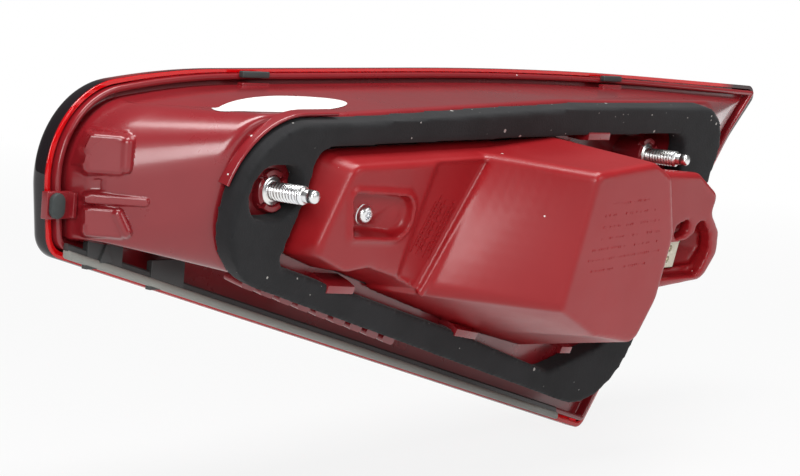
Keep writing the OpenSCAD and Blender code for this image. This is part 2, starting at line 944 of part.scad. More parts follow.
// Clear optics that stand on the tray over their boards
optic_gap = 0.8;
optic_wall = 1.2;
optic_h = 8;
module optic(place, tint) {
    color(tint)
        difference() {
            block(place[0] - optic_gap - optic_wall, tray_top, place[1] - optic_gap - optic_wall,
                place[2] + 2 * (optic_gap + optic_wall), optic_h, place[3] + 2 * (optic_gap + optic_wall));
            block(place[0] - optic_gap, tray_top - over, place[1] - optic_gap,
                place[2] + 2 * optic_gap, optic_h - optic_wall + over, place[3] + 2 * optic_gap);
        }
}

module stop_optic() {
    optic(stop_place, "lightcoral");
}

module indicator_optic() {
    optic(indicator_place, "moccasin");
}

module reverse_optic() {
    optic(reverse_place, "whitesmoke");
}

// Reflector for other cars' lights, a prism plate on the tray
reflex_t = 5;
module reflex_reflector() {
    color("crimson")
        block(reflex_place[0], tray_top, reflex_place[1], reflex_place[2], reflex_t, reflex_place[3]);
}

// Driver board on the housing's floor, under the cover
driver_shares = [0.5438, 0.4488, 0.2774, 0.2913];
driver_x = seat_x0 + driver_shares[0] * seat_len;
driver_z = seat_z0 + driver_shares[1] * seat_h;
driver_len = driver_shares[2] * seat_len;
driver_h = driver_shares[3] * seat_h;
driver_y = seat_back - board_t;
module driver_board() {
    color("darkgreen")
        in_seat()
            block(driver_x, driver_y, driver_z, driver_len, board_t, driver_h);
}

coil_r = 6;
coil_h = 9;
cap_r = 4;
cap_h = 12;
chip_w = 12;
chip_t = 2;
coil_place = [14, 12];
coil_pitch = 17;
cap_place = [32, 10];
cap_pitch = 12;
chip_place = [46, 22];
module driver_parts() {
    color("gray")
        in_seat() {
            for (k = [0:1]) {
                bar(driver_x + coil_place[0], driver_z + coil_place[1] + k * coil_pitch, coil_r, driver_y - coil_h,
                    coil_h);
                bar(driver_x + cap_place[0], driver_z + cap_place[1] + k * cap_pitch, cap_r, driver_y - cap_h, cap_h);
            }
            block(driver_x + chip_place[0], driver_y - chip_t, driver_z + chip_place[1], chip_w, chip_t, chip_w);
        }
}

// Cream socket with its contacts
socket_room = 1;
socket_w = plug_w - 2 * socket_room;
socket_h = 11;
socket_share = 0.5276;
socket_head = 9;
socket_over = 3;
neck_in = 5;
neck_up = 3;
socket_hole = 3;
pin_back = 0.4;
socket_y = -20;
socket_x = driver_x + driver_len - socket_over;
socket_z = seat_z0 + socket_share * seat_h;
contact_r = 0.7;
contact_pitch = 4.4;
module at_contacts() {
    for (i = [-0.5, 0.5], j = [-0.5, 0.5])
        translate([socket_x + socket_w / 2 + i * contact_pitch, 0, socket_z + socket_h / 2 + j * contact_pitch])
            children();
}

module plug_socket() {
    color("cornsilk")
        in_seat()
            difference() {
                union() {
                    block(socket_x, socket_y, socket_z, socket_w, socket_head, socket_h);
                    block(socket_x, socket_y + socket_head, socket_z + neck_up, socket_w - neck_in,
                        driver_y - socket_y - socket_head, socket_h - neck_up);
                }
                at_contacts()
                    bar(0, 0, 2 * contact_r, socket_y - over, socket_hole + over, 16);
            }
}

module plug_pins() {
    color("gold")
        in_seat()
            at_contacts()
                bar(0, 0, contact_r, socket_y + pin_back, socket_hole - pin_back, 16);
}

// Lead that leaves the socket's side, turns over and lies down on the board
wire_r = 0.9;
wire_sides = 8;
wire_points = 11;
wire_out = 14;
wire_back = 15;
wire_drop = 3;
wire_rise = 8;
wire_gap = 0.05;
wire_sink = 0.06;
function half_turn(t) = (1 - cos(180 * t)) / 2;
function wire_at(t) = [
    socket_x + socket_w + wire_gap + wire_out * sin(180 * t) - wire_back * half_turn(t),
    socket_y + wire_drop + (driver_y - wire_r + wire_sink - socket_y - wire_drop) * half_turn(t),
    socket_z + wire_rise * (1 + half_turn(t))
];
function direction(t) = unit(wire_at(min(t + 1 / wire_points, 1)) - wire_at(max(t - 1 / wire_points, 0)));
function wire_ring(t) =
    let(d = direction(t), a = unit(cross(d, [0, 0, 1])), b = cross(d, a))
    [for (k = [0:wire_sides - 1]) wire_at(t)
        + wire_r * (a * cos(360 * k / wire_sides) + b * sin(360 * k / wire_sides))];
module supply_wire() {
    color("mediumseagreen")
        in_seat()
            skin([for (i = [0:wire_points - 1]) wire_ring(i / (wire_points - 1))]);
}

housing();
outer_lens();
lower_trim();
foam_seal();
rear_cover();
cover_seal();
cover_screw();
outer_stud();
inner_stud();
end_buffer();
top_buffer_outer();
top_buffer_inner();
oval_label();
reflector_tray();
light_guide();
inner_bezel();
tail_board();
stop_board();
indicator_board();
reverse_board();
tail_leds();
stop_leds();
indicator_leds();
reverse_leds();
stop_optic();
indicator_optic();
reverse_optic();
reflex_reflector();
driver_board();
driver_parts();
plug_socket();
plug_pins();
supply_wire();
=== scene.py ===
# %% [markdown]
# # A tail light cluster, seen from its mounting side
# The lamp lies with its clear red lens away from us. We look at what the car hides: a moulded red
# housing, a black foam seal, a stepped red cover, two zinc plated studs and a black trim strip.
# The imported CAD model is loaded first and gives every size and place. Blender then dresses it.

# %% The frame
import math
import bmesh
import bpy
from mathutils import Matrix, Vector, noise


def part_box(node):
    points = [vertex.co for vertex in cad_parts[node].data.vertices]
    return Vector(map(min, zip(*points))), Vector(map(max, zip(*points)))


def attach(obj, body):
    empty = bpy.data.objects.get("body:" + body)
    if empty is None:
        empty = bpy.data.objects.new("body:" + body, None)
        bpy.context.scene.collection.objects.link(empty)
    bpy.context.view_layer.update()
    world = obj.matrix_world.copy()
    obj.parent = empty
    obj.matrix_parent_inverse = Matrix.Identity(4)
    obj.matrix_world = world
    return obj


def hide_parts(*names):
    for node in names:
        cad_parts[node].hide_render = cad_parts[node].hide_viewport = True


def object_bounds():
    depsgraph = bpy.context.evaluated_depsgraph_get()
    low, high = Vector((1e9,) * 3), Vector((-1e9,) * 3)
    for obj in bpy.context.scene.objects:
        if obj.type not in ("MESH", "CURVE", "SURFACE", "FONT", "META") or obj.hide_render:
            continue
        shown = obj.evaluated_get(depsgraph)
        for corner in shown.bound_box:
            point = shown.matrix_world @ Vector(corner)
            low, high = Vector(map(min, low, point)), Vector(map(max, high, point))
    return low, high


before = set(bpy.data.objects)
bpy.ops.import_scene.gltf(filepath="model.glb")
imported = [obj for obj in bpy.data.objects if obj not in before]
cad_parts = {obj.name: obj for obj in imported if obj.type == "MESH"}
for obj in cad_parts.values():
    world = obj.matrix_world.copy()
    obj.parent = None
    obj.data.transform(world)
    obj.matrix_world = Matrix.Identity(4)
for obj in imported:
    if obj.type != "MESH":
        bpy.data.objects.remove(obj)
cad_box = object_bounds()
print("CAD box", [[round(v, 3) for v in corner] for corner in cad_box])

# %% [markdown]
# ## Measures that the pieces share
# The lamp is drawn in two planes. The studs' plane is square to +Y. The seal's plane leans back by
# twelve degrees, and the foam, the cover and the plug are drawn in it and then turned. All measures
# are in millimetres here, and become metres when a mesh is made.

# %% Shared measures
MM = 0.001
SEAT_TILT = math.radians(12)
SEAT_BACK = 2.0
X_END = -59.0
LAMP_LEN = 428.0
LAMP_H = 148.0
Z_LOW = -108.0
RIM_ROUND = 34.0
SEAT_X0 = -21.0
SEAT_Z0 = -95.0
SEAT_LEN = 274.0
SEAT_H = 127.0
SEAT_ROUND = 10.0
ARC_STEPS = 12

RIM = [(0.000, 0.908, 1.00), (0.130, 0.962, 11.0), (0.605, 1.000, 90.0), (1.000, 0.973, 0.12),
       (0.942, 0.818, 2.00), (0.713, 0.000, 0.18), (0.013, 0.571, 0.25)]
SEAL = [(0.000, 0.929, 2.80), (0.186, 0.937, 0.20), (0.624, 0.988, 0.20), (1.007, 1.000, 2.80),
        (0.986, 0.709, 6.00), (0.865, 0.000, 3.00), (0.000, 0.551, 2.50)]
OPENING = [(0.116, 0.872, 0.70), (0.679, 0.909, 3.00), (0.894, 0.913, 0.80), (0.922, 0.559, 2.00),
           (0.832, 0.240, 1.40), (0.704, 0.173, 0.90), (0.431, 0.358, 3.00), (0.091, 0.566, 0.40),
           (0.113, 0.748, 1.20)]


def rim_corners():
    return [(X_END + s[0] * LAMP_LEN, Z_LOW + s[1] * LAMP_H, s[2] * RIM_ROUND) for s in RIM]


def seat_corners(shares):
    return [(SEAT_X0 + s[0] * SEAT_LEN, SEAT_Z0 + s[1] * SEAT_H, s[2] * SEAT_ROUND) for s in shares]


def tilted(x, y, z):
    """A point of the seal's plane in the lamp's own axes."""
    c, s = math.cos(SEAT_TILT), math.sin(SEAT_TILT)
    return Vector((x, y * c - z * s, y * s + z * c))


# %% [markdown]
# ## Outlines with rounded corners
# Every big piece follows an outline of a few corners, each with its own radius. `inset` moves an
# outline inwards edge by edge, and `rounded` replaces each corner by an arc that touches both edges.
# Rings of such points, one behind the other, are what the lofts are made of.

# %% Outline helpers
def inset(corners, d):
    n = len(corners)
    out = []
    for i in range(n):
        a, b, e = (Vector(corners[(i + k) % n][:2]) for k in (-1, 0, 1))
        u, w = (b - a).normalized(), (e - b).normalized()
        n1, n2 = Vector((u.y, -u.x)), Vector((w.y, -w.x))
        cross = u.x * w.y - u.y * w.x
        p, q = b + n1 * d, b + n2 * d
        t = ((q - p).x * w.y - (q - p).y * w.x) / cross
        hit = p + u * t
        out.append((hit.x, hit.y, max(corners[i][2] + (-d if cross < 0 else d), 0.5)))
    return out


def corner_arc(before, corner, after, steps=ARC_STEPS):
    """One corner as an arc that touches both of its edges."""
    a, b, e = (Vector(c[:2]) for c in (before, corner, after))
    u, w = (a - b).normalized(), (e - b).normalized()
    half = math.acos(max(-1, min(1, u.dot(w)))) / 2
    reach = min(corner[2] / math.tan(half), (a - b).length * 0.6, (e - b).length * 0.6)
    r = reach * math.tan(half)
    mid = b + (u + w).normalized() * (r / math.sin(half))
    start, end = b + u * reach - mid, b + w * reach - mid
    a0 = math.atan2(start.y, start.x)
    sweep_angle = math.atan2(start.x * end.y - start.y * end.x, start.dot(end))
    return [mid + r * Vector((math.cos(a0 + sweep_angle * k / steps), math.sin(a0 + sweep_angle * k / steps)))
            for k in range(steps + 1)]


def rounded(corners, steps=ARC_STEPS):
    n = len(corners)
    return [p for i in range(n) for p in corner_arc(corners[i - 1], corners[i], corners[(i + 1) % n], steps)]


def resampled(points, count):
    """The same closed outline with evenly spaced points, which begins at its first point."""
    n = len(points)
    lengths = [(points[(i + 1) % n] - points[i]).length for i in range(n)]
    total = sum(lengths)
    out, i, run = [], 0, 0.0
    for k in range(count):
        goal = total * k / count
        while run + lengths[i] < goal:
            run += lengths[i]
            i += 1
        t = (goal - run) / max(lengths[i], 1e-9)
        out.append(points[i].lerp(points[(i + 1) % n], t))
    return out


def seated(corners, y, steps=ARC_STEPS):
    return [tilted(p.x, y, p.y) for p in rounded(corners, steps)]


def bend(a, b, c, n):
    """Rings that turn smoothly from ring a to ring c past ring b."""
    return [[p * (1 - t) ** 2 + q * 2 * t * (1 - t) + r * t ** 2 for p, q, r in zip(a, b, c)]
            for t in (k / n for k in range(n + 1))]


print("rim points", len(rounded(rim_corners())), "seal points", len(rounded(seat_corners(SEAL))))

# %% [markdown]
# ## From rings to meshes
# A loft joins neighbouring rings with quads and closes both ends with a flat face. Smooth shading
# everywhere, with sharp edges only where faces meet steeply, keeps mouldings soft and steps crisp.

# %% Mesh helpers
SHARP = math.radians(38)


def finish_mesh(name, bm, sharp=SHARP):
    bmesh.ops.remove_doubles(bm, verts=bm.verts, dist=1e-7)
    bmesh.ops.recalc_face_normals(bm, faces=bm.faces)
    mesh = bpy.data.meshes.new(name)
    bm.to_mesh(mesh)
    bm.free()
    mesh.polygons.foreach_set("use_smooth", [True] * len(mesh.polygons))
    mesh.set_sharp_from_angle(angle=sharp)
    piece = bpy.data.objects.new(name, mesh)
    bpy.context.scene.collection.objects.link(piece)
    return piece


def add_loft(bm, rings, capped=True):
    rows = [[bm.verts.new(p * MM) for p in ring] for ring in rings]
    n = len(rows[0])
    for r0, r1 in zip(rows, rows[1:]):
        for j in range(n):
            bm.faces.new((r0[j], r1[j], r1[(j + 1) % n], r0[(j + 1) % n]))
    if capped:
        bm.faces.new(rows[0])
        bm.faces.new(rows[-1])
    else:
        for j in range(n):
            bm.faces.new((rows[-1][j], rows[0][j], rows[0][(j + 1) % n], rows[-1][(j + 1) % n]))
    return rows


def loft(name, rings, capped=True, sharp=SHARP):
    bm = bmesh.new()
    add_loft(bm, rings, capped)
    bmesh.ops.triangulate(bm, faces=[f for f in bm.faces if len(f.verts) > 4])
    return finish_mesh(name, bm, sharp)


def triangles(piece):
    return sum(len(p.vertices) - 2 for p in piece.data.polygons)


def baked(piece):
    """The piece with its modifiers turned into a plain mesh."""
    graph = bpy.context.evaluated_depsgraph_get()
    mesh = bpy.data.meshes.new_from_object(piece.evaluated_get(graph))
    piece.modifiers.clear()
    old = piece.data
    piece.data = mesh
    bpy.data.meshes.remove(old)
    return piece


def combine(piece, tools, operation):
    """Boolean of a piece with a list of tool meshes, which are then thrown away."""
    for tool in tools:
        mod = piece.modifiers.new("cut", "BOOLEAN")
        mod.operation, mod.solver, mod.object = operation, "MANIFOLD", tool
    baked(piece)
    for tool in tools:
        bpy.data.objects.remove(tool)
    return piece


def softened(piece, voxel, rounds, sharp=math.radians(60)):
    """A voxel remesh and a few rounds of smoothing round every edge, as a mould does."""
    mod = piece.modifiers.new("remesh", "REMESH")
    mod.mode, mod.voxel_size, mod.use_smooth_shade = "VOXEL", voxel * MM, True
    mod = piece.modifiers.new("smooth", "SMOOTH")
    mod.factor, mod.iterations = 0.5, rounds
    baked(piece)
    piece.data.polygons.foreach_set("use_smooth", [True] * len(piece.data.polygons))
    return piece


def dressed(piece, material, slot_name, *nodes):
    """The last step of each piece: its material, its body and the nodes it stands for. Its slot name is not used."""
    piece.data.materials.clear()
    piece.data.materials.append(material)
    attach(piece, "root")
    if nodes:
        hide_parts(*nodes)
    print(piece.name, triangles(piece), "triangles")
    return piece


# %% [markdown]
# ## Effects that several materials share
# Moulded plastic is never one flat colour. It carries a fine grain from the mould, a slight change of
# tone where the wall is thick or thin, and here a little dust. Each effect is a
# shader node group, placed in a material with that material's own values.

# %% Shader groups
def shader_group(name, inputs, outputs):
    tree = bpy.data.node_groups.new(name, "ShaderNodeTree")
    for label, value in inputs:
        kind = "NodeSocketColor" if isinstance(value, tuple) else "NodeSocketFloat"
        socket = tree.interface.new_socket(label, in_out="INPUT", socket_type=kind)
        socket.default_value = value
    for label, kind in outputs:
        tree.interface.new_socket(label, in_out="OUTPUT", socket_type=kind)
    return tree, tree.nodes.new("NodeGroupInput"), tree.nodes.new("NodeGroupOutput")


def node(tree, kind, **settings):
    made = tree.nodes.new(kind)
    for key, value in settings.items():
        if hasattr(made, key):
            setattr(made, key, value)
        else:
            made.inputs[key.replace("_", " ")].default_value = value
    return made


def math_node(tree, operation, a, b, clamp=False):
    made = tree.nodes.new("ShaderNodeMath")
    made.operation, made.use_clamp = operation, clamp
    for socket, value in zip(made.inputs, (a, b)):
        if isinstance(value, (int, float)):
            socket.default_value = value
        else:
            tree.links.new(value, socket)
    return made.outputs[0]


def mix_colour(tree, factor, a, b, blend="MIX"):
    made = tree.nodes.new("ShaderNodeMix")
    made.data_type, made.blend_type = "RGBA", blend
    for socket, value in ((made.inputs[0], factor), (made.inputs[6], a), (made.inputs[7], b)):
        if isinstance(value, (int, float, tuple)):
            socket.default_value = value
        else:
            tree.links.new(value, socket)
    return made.outputs[2]


def ramp(tree, source, low, high):
    made = node(tree, "ShaderNodeMapRange", clamp=True)
    made.inputs["From Min"].default_value, made.inputs["From Max"].default_value = low, high
    tree.links.new(source, made.inputs["Value"])
    return made.outputs[0]


def noise_value(tree, vector, scale, detail=3.0, rough=0.55):
    made = node(tree, "ShaderNodeTexNoise", Scale=scale, Detail=detail, Roughness=rough)
    tree.links.new(vector, made.inputs["Vector"])
    return made.outputs["Fac"]


def moulded_group():
    """Tone that drifts over a moulding, with a fine grain as height."""
    tree, gin, gout = shader_group(
        "Moulded tone", [("Base", (0.5, 0.5, 0.5, 1)), ("Deep", (0.2, 0.2, 0.2, 1)), ("Drift", 0.5)],
        [("Color", "NodeSocketColor"), ("Height", "NodeSocketFloat"), ("Haze", "NodeSocketFloat")])
    where = node(tree, "ShaderNodeTexCoord").outputs["Object"]
    clouds = noise_value(tree, where, 14.0, 4.0)
    grain = noise_value(tree, where, 2600.0, 2.0)
    haze = noise_value(tree, where, 45.0, 5.0, 0.65)
    drift = math_node(tree, "MULTIPLY", ramp(tree, clouds, 0.35, 0.7), gin.outputs["Drift"])
    tree.links.new(mix_colour(tree, drift, gin.outputs["Base"], gin.outputs["Deep"]), gout.inputs["Color"])
    tree.links.new(grain, gout.inputs["Height"])
    tree.links.new(ramp(tree, haze, 0.35, 0.75), gout.inputs["Haze"])
    return tree


def specks_group():
    """Small pale specks, sparse and uneven, as dust that sticks to foam and plastic."""
    tree, gin, gout = shader_group(
        "Dust specks", [("Spacing", 120.0), ("Size", 0.12), ("Amount", 0.3)], [("Mask", "NodeSocketFloat")])
    where = node(tree, "ShaderNodeTexCoord").outputs["Object"]
    cells = node(tree, "ShaderNodeTexVoronoi", feature="F1")
    tree.links.new(where, cells.inputs["Vector"])
    tree.links.new(gin.outputs["Spacing"], cells.inputs["Scale"])
    split = node(tree, "ShaderNodeSeparateColor")
    tree.links.new(cells.outputs["Color"], split.inputs[0])
    chosen = math_node(tree, "LESS_THAN", split.outputs[0], gin.outputs["Amount"])
    size = math_node(tree, "MULTIPLY", split.outputs[1], gin.outputs["Size"])
    near = math_node(tree, "LESS_THAN", cells.outputs["Distance"], size)
    tree.links.new(math_node(tree, "MULTIPLY", chosen, near), gout.inputs["Mask"])
    return tree


MOULDED = moulded_group()
SPECKS = specks_group()
print("shader groups", MOULDED.name, SPECKS.name)

# %% [markdown]
# ## Plastics
# The housing is a dull maroon red that has picked up a pale haze, the cover is a cleaner and more
# saturated red, and the trim is black. They share one recipe: the moulded tone as colour, its grain
# as bump, haze that makes the gloss uneven, and specks of dust on top.

# %% Plastic materials
def new_material(name):
    material = bpy.data.materials.new(name)
    material.use_nodes = True
    tree = material.node_tree
    return material, tree, tree.nodes["Principled BSDF"]


def group_node(tree, group, **values):
    made = tree.nodes.new("ShaderNodeGroup")
    made.node_tree = group
    for key, value in values.items():
        made.inputs[key].default_value = value
    return made


def plastic(name, base, deep, rough, coat=0.0, shine=0.5, grain=0.05, drift=0.6, dust=0.3, spacing=140.0, speck=0.08,
            haze=0.12, dust_colour=(0.75, 0.7, 0.68, 1)):
    material, tree, shader = new_material(name)
    tone = group_node(tree, MOULDED, Base=base + (1,), Deep=deep + (1,), Drift=drift)
    specks = group_node(tree, SPECKS, Spacing=spacing, Size=speck, Amount=dust)
    colour = mix_colour(tree, specks.outputs["Mask"], tone.outputs["Color"], dust_colour)
    tree.links.new(colour, shader.inputs["Base Color"])
    wet = math_node(tree, "MULTIPLY_ADD", tone.outputs["Haze"], haze)
    tree.nodes[-1].inputs[2].default_value = rough
    tree.links.new(wet, shader.inputs["Roughness"])
    bump = node(tree, "ShaderNodeBump", Strength=grain, Distance=0.0002)
    tree.links.new(tone.outputs["Height"], bump.inputs["Height"])
    tree.links.new(bump.outputs["Normal"], shader.inputs["Normal"])
    shader.inputs["Specular IOR Level"].default_value = shine
    shader.inputs["Coat Weight"].default_value = coat
    shader.inputs["Coat Roughness"].default_value = 0.16
    return material


HOUSING_RED = plastic("housing red", (0.27, 0.012, 0.018), (0.20, 0.007, 0.011), 0.26, coat=0.5, dust=0.12)
COVER_RED = plastic("cover red", (0.34, 0.009, 0.013), (0.27, 0.006, 0.009), 0.33, coat=0.1, shine=0.4,
                    dust=0.16, spacing=170.0)
TRIM_BLACK = plastic("trim black", (0.05, 0.052, 0.052), (0.035, 0.036, 0.036), 0.38, grain=0.12, dust=0.3,
                     dust_colour=(0.35, 0.35, 0.34, 1))
# Painted highlight: a pale grey copy of the black trim plastic, for the light that falls on the trim's lip.
TRIM_PAINTED_HIGHLIGHT = plastic("trim painted highlight", (0.34, 0.345, 0.315), (0.22, 0.225, 0.205), 0.4, grain=0.12, dust=0.2,
                    dust_colour=(0.45, 0.45, 0.42, 1))
BUFFER_RUBBER = plastic("buffer rubber", (0.045, 0.055, 0.054), (0.03, 0.036, 0.036), 0.55, grain=0.25)
BEZEL_GREY = plastic("bezel grey", (0.045, 0.045, 0.048), (0.03, 0.03, 0.032), 0.4)
SOCKET_CREAM = plastic("socket cream", (0.78, 0.74, 0.6), (0.66, 0.62, 0.5), 0.45, dust=0.0)
LED_CREAM = plastic("led cream", (0.8, 0.72, 0.35), (0.72, 0.62, 0.28), 0.35, dust=0.0)
PARTS_DARK = plastic("parts dark", (0.05, 0.05, 0.055), (0.03, 0.03, 0.034), 0.4, dust=0.0)
LABEL_WHITE = plastic("label white", (0.86, 0.86, 0.84), (0.8, 0.8, 0.79), 0.42, dust=0.1,
                      dust_colour=(0.6, 0.58, 0.55, 1), grain=0.02)
print("plastics ready")

# %% [markdown]
# ## Foam and rubber
# The seal is closed cell foam, black and matt, with pores that show as small pits and pale dust
# caught in them. A noise gives the soft unevenness and a Voronoi pattern gives the pits.

# %% Foam material
def foam_material():
    material, tree, shader = new_material("seal foam")
    where = node(tree, "ShaderNodeTexCoord").outputs["Object"]
    clouds = noise_value(tree, where, 60.0, 6.0, 0.65)
    colour = mix_colour(tree, ramp(tree, clouds, 0.3, 0.75), (0.015, 0.015, 0.016, 1), (0.024, 0.024, 0.026, 1))
    specks = group_node(tree, SPECKS, Spacing=210.0, Size=0.17, Amount=0.13)
    fine = group_node(tree, SPECKS, Spacing=620.0, Size=0.2, Amount=0.05)
    both = math_node(tree, "MAXIMUM", specks.outputs["Mask"], fine.outputs["Mask"])
    tree.links.new(mix_colour(tree, both, colour, (0.42, 0.4, 0.38, 1)), shader.inputs["Base Color"])
    pits = node(tree, "ShaderNodeTexVoronoi", feature="F1", Scale=1500.0)
    tree.links.new(where, pits.inputs["Vector"])
    height = math_node(tree, "ADD", math_node(tree, "MULTIPLY", clouds, 0.3), pits.outputs["Distance"])
    bump = node(tree, "ShaderNodeBump", Strength=0.15, Distance=0.0003)
    tree.links.new(height, bump.inputs["Height"])
    tree.links.new(bump.outputs["Normal"], shader.inputs["Normal"])
    shader.inputs["Roughness"].default_value = 0.82
    shader.inputs["Specular IOR Level"].default_value = 0.2
    shader.inputs["Sheen Weight"].default_value = 0.06
    shader.inputs["Sheen Roughness"].default_value = 0.5
    return material


SEAL_FOAM = foam_material()
SEAL_RUBBER = plastic("seal rubber", (0.02, 0.02, 0.021), (0.014, 0.014, 0.015), 0.6, grain=0.2, dust=0.1)
print("foam ready")

# %% [markdown]
# ## The housing's skin
# The housing is one moulding. It starts as the flat seat behind the seal, slopes out to a wide
# shoulder, drops into a groove and ends in the flange that the lens is welded to. Boxes joined by
# booleans would leave hard edges, so the skin is a loft of many rings. Short bends between the
# rings round the edges, and the rings are closest together on the slope, which carries details.

# %% Housing rings
SEAT_MARGIN = 0.8
WALL = 2.8
SLOPE_ROWS = 84
CORNER_STEPS = [64, 14, 14, 14, 14, 14, 0, 14]
EDGE_CUTS = [24, 40, 30, 8, 20, 36, 14, 70]
BODY_LIFT = [1.0, 3.0, 3.0, 1.2, 0.0, 5.0, 6.7, -0.8]
BODY_PULL = [0, 0, 0, 21.0, 22.0, 17.0, 0, 0]
RIM_LIFT = [0.5, 1.6, 1.6, 0.8, 0.0, 0.0, 0.0, 0.0]
SEAT_SHIFT = [(0.0, 0.0), (0.0, 0.0), (0.0, 0.0), (16.0, 0.0), (-11.0, 0.0), (-2.6, 2.6), (0.0, 2.6), (0.0, 2.6)]


def with_knee(corners, share):
    """The outline with one more corner on its low edge, near the outer end."""
    a, b = corners[5], corners[6]
    knee = (a[0] + (b[0] - a[0]) * share, a[1] + (b[1] - a[1]) * share, 1.0)
    return corners[:6] + [knee] + corners[6:]


def shifted(corners, moves):
    return [(c[0] + dx, c[1] + dz, c[2]) for c, (dx, dz) in zip(corners, moves)]


def flange(d):
    """The rim moved in by d. The long top edge is slimmer than the rest."""
    part = min(d / 3, 1)
    return shifted(with_knee(inset(rim_corners(), d), 0.795), [(0, lift * part) for lift in RIM_LIFT])


def body_corners(d, pull=0.0, lift=1.0):
    """The body's outline: clear of the trim below, high along the top and pulled in at the inner end."""
    moves = [(-dx * pull, dz * lift if i < 4 else dz) for i, (dx, dz) in enumerate(zip(BODY_PULL, BODY_LIFT))]
    return shifted(with_knee(inset(rim_corners(), d), 0.795), moves)


def body_seat():
    """The flat behind the seal. Its upper outer corner is tighter than the seal's own."""
    corners = shifted(with_knee(inset(seat_corners(SEAL), -SEAT_MARGIN), 0.88), SEAT_SHIFT)
    return [corners[0][:2] + (17.0,)] + corners[1:]


def dense(corners):
    """An outline with its own number of steps at each corner and along each edge."""
    n = len(corners)
    arcs = []
    for i in range(n):
        trio = [corners[(i + k) % n] for k in (-1, 0, 1)]
        arcs.append(corner_arc(*trio, CORNER_STEPS[i]) if CORNER_STEPS[i] else [Vector(corners[i][:2])])
    out = []
    for i in range(n):
        out += arcs[i]
        start, end = arcs[i][-1], arcs[(i + 1) % n][0]
        out += [start.lerp(end, k / EDGE_CUTS[i]) for k in range(1, EDGE_CUTS[i])]
    return out


def ring_level(corners, y):
    return [Vector((p.x, y, p.y)) for p in dense(corners)]


def ring_seat(corners, y):
    return [tilted(p.x, y, p.y) for p in dense(corners)]


def ring_mix(a, b, t):
    return [p.lerp(q, t) for p, q in zip(a, b)]


def housing_rings():
    """Rings of the outside, from the seat out to the flange, and rings of the inside on the way back."""
    shoulder = ring_level(body_corners(8.6, 1.0), 30)
    seat_edge = ring_seat(body_seat(), SEAT_BACK)
    seat_face = ring_seat(inset(body_seat(), 2.4), SEAT_BACK)
    outside = bend(seat_face, seat_edge, ring_mix(seat_edge, shoulder, 0.08), 6)
    outside += [ring_mix(seat_edge, shoulder, 0.08 + 0.78 * k / SLOPE_ROWS) for k in range(1, SLOPE_ROWS)]
    outside += bend(ring_mix(seat_edge, shoulder, 0.86), shoulder, ring_level(body_corners(7.9, 0.5, 0.8), 35.5), 9)
    outside += bend(ring_level(body_corners(7.3, 0.2, 0.7), 39.2), ring_level(body_corners(6.9, 0.1, 0.7), 40.6),
                    ring_level(body_corners(7.4, 0, 0.7), 41.6), 4)
    outside += bend(ring_level(body_corners(7.6, 0, 0.6), 43.2), ring_level(body_corners(7.5, 0, 0.6), 44.0),
                    ring_level(body_corners(6.9, 0, 0.6), 44.0), 3)
    outside += bend(ring_level(flange(5.4), 44.0), ring_level(flange(5.0), 44.0), ring_level(flange(5.0), 43.3), 3)
    outside += bend(ring_level(flange(5.0), 40.9), ring_level(flange(5.0), 40.0), ring_level(flange(4.1), 40.0), 4)
    outside += bend(ring_level(flange(3.9), 40.0), ring_level(flange(3.0), 40.0), ring_level(flange(3.0), 40.9), 4)
    outside += [ring_level(flange(3.0), 47.0)]
    inside = [ring_level(body_corners(7.6 + WALL, 0, 0.6), 47.0), ring_level(body_corners(8.1 + WALL, 0.5, 0.8), 36.0),
              ring_level(body_corners(8.6 + WALL, 1.0), 30.0),
              ring_seat(inset(body_seat(), WALL), SEAT_BACK + WALL)]
    return outside, inside


print("housing rings", sum(len(part) for part in housing_rings()), "points in each", len(dense(flange(0))))

# %% [markdown]
# ## Pads, finger and recess on the outer end
# The sloped outer end carries two raised pads with a rolled edge, a thin finger and a small recess.
# They are one moulding with the slope, so they are made as a height field: each point of the skin
# keeps its place on the slope and moves out or in to the height that the feature asks for. Smooth
# maxima leave the small fillets that a mould has.

# %% Height field of the outer end
END_X = X_END + 8.6 + 2.0
END_SLOPE = math.atan((30.0 - SEAT_BACK) / (SEAT_X0 - SEAT_MARGIN - END_X))
ALONG = Vector((math.cos(END_SLOPE), -math.sin(END_SLOPE), 0))
OUT = Vector((-math.sin(END_SLOPE), -math.cos(END_SLOPE), 0))
LEAN = 2.0


def smooth_max(a, b, k):
    h = max(k - abs(a - b), 0) / k
    return max(a, b) + h * h * k / 4


def soft_edge(d, r):
    return 0 if d < -r else d if d > r else (d + r) ** 2 / (4 * r)


def box_distance(u, v, u0, u1, v0, v1, r):
    du, dv = max(u0 + r - u, u - u1 + r), max(v0 + r - v, v - v1 + r)
    return min(max(du, dv), 0) + math.hypot(max(du, 0), max(dv, 0)) - r


def segment_distance(u, v, a, b):
    p, d = Vector((u, v)) - Vector(a), Vector(b) - Vector(a)
    t = max(0, min(1, p.dot(d) / d.length_squared))
    return (p - d * t).length, t


def plateau(d, top, steep=3.0, r=0.45, reach=1.2):
    """A flat top with a rounded edge, which drops out of sight beyond its flank."""
    return top - steep * soft_edge(d, r) - (60 * (d - reach) if d > reach else 0)


def roll_height(d, centre, r):
    return centre + math.sqrt(r * r - d * d) if d < r * 0.97 else centre + r * 0.24 - 9 * (d - r * 0.97)


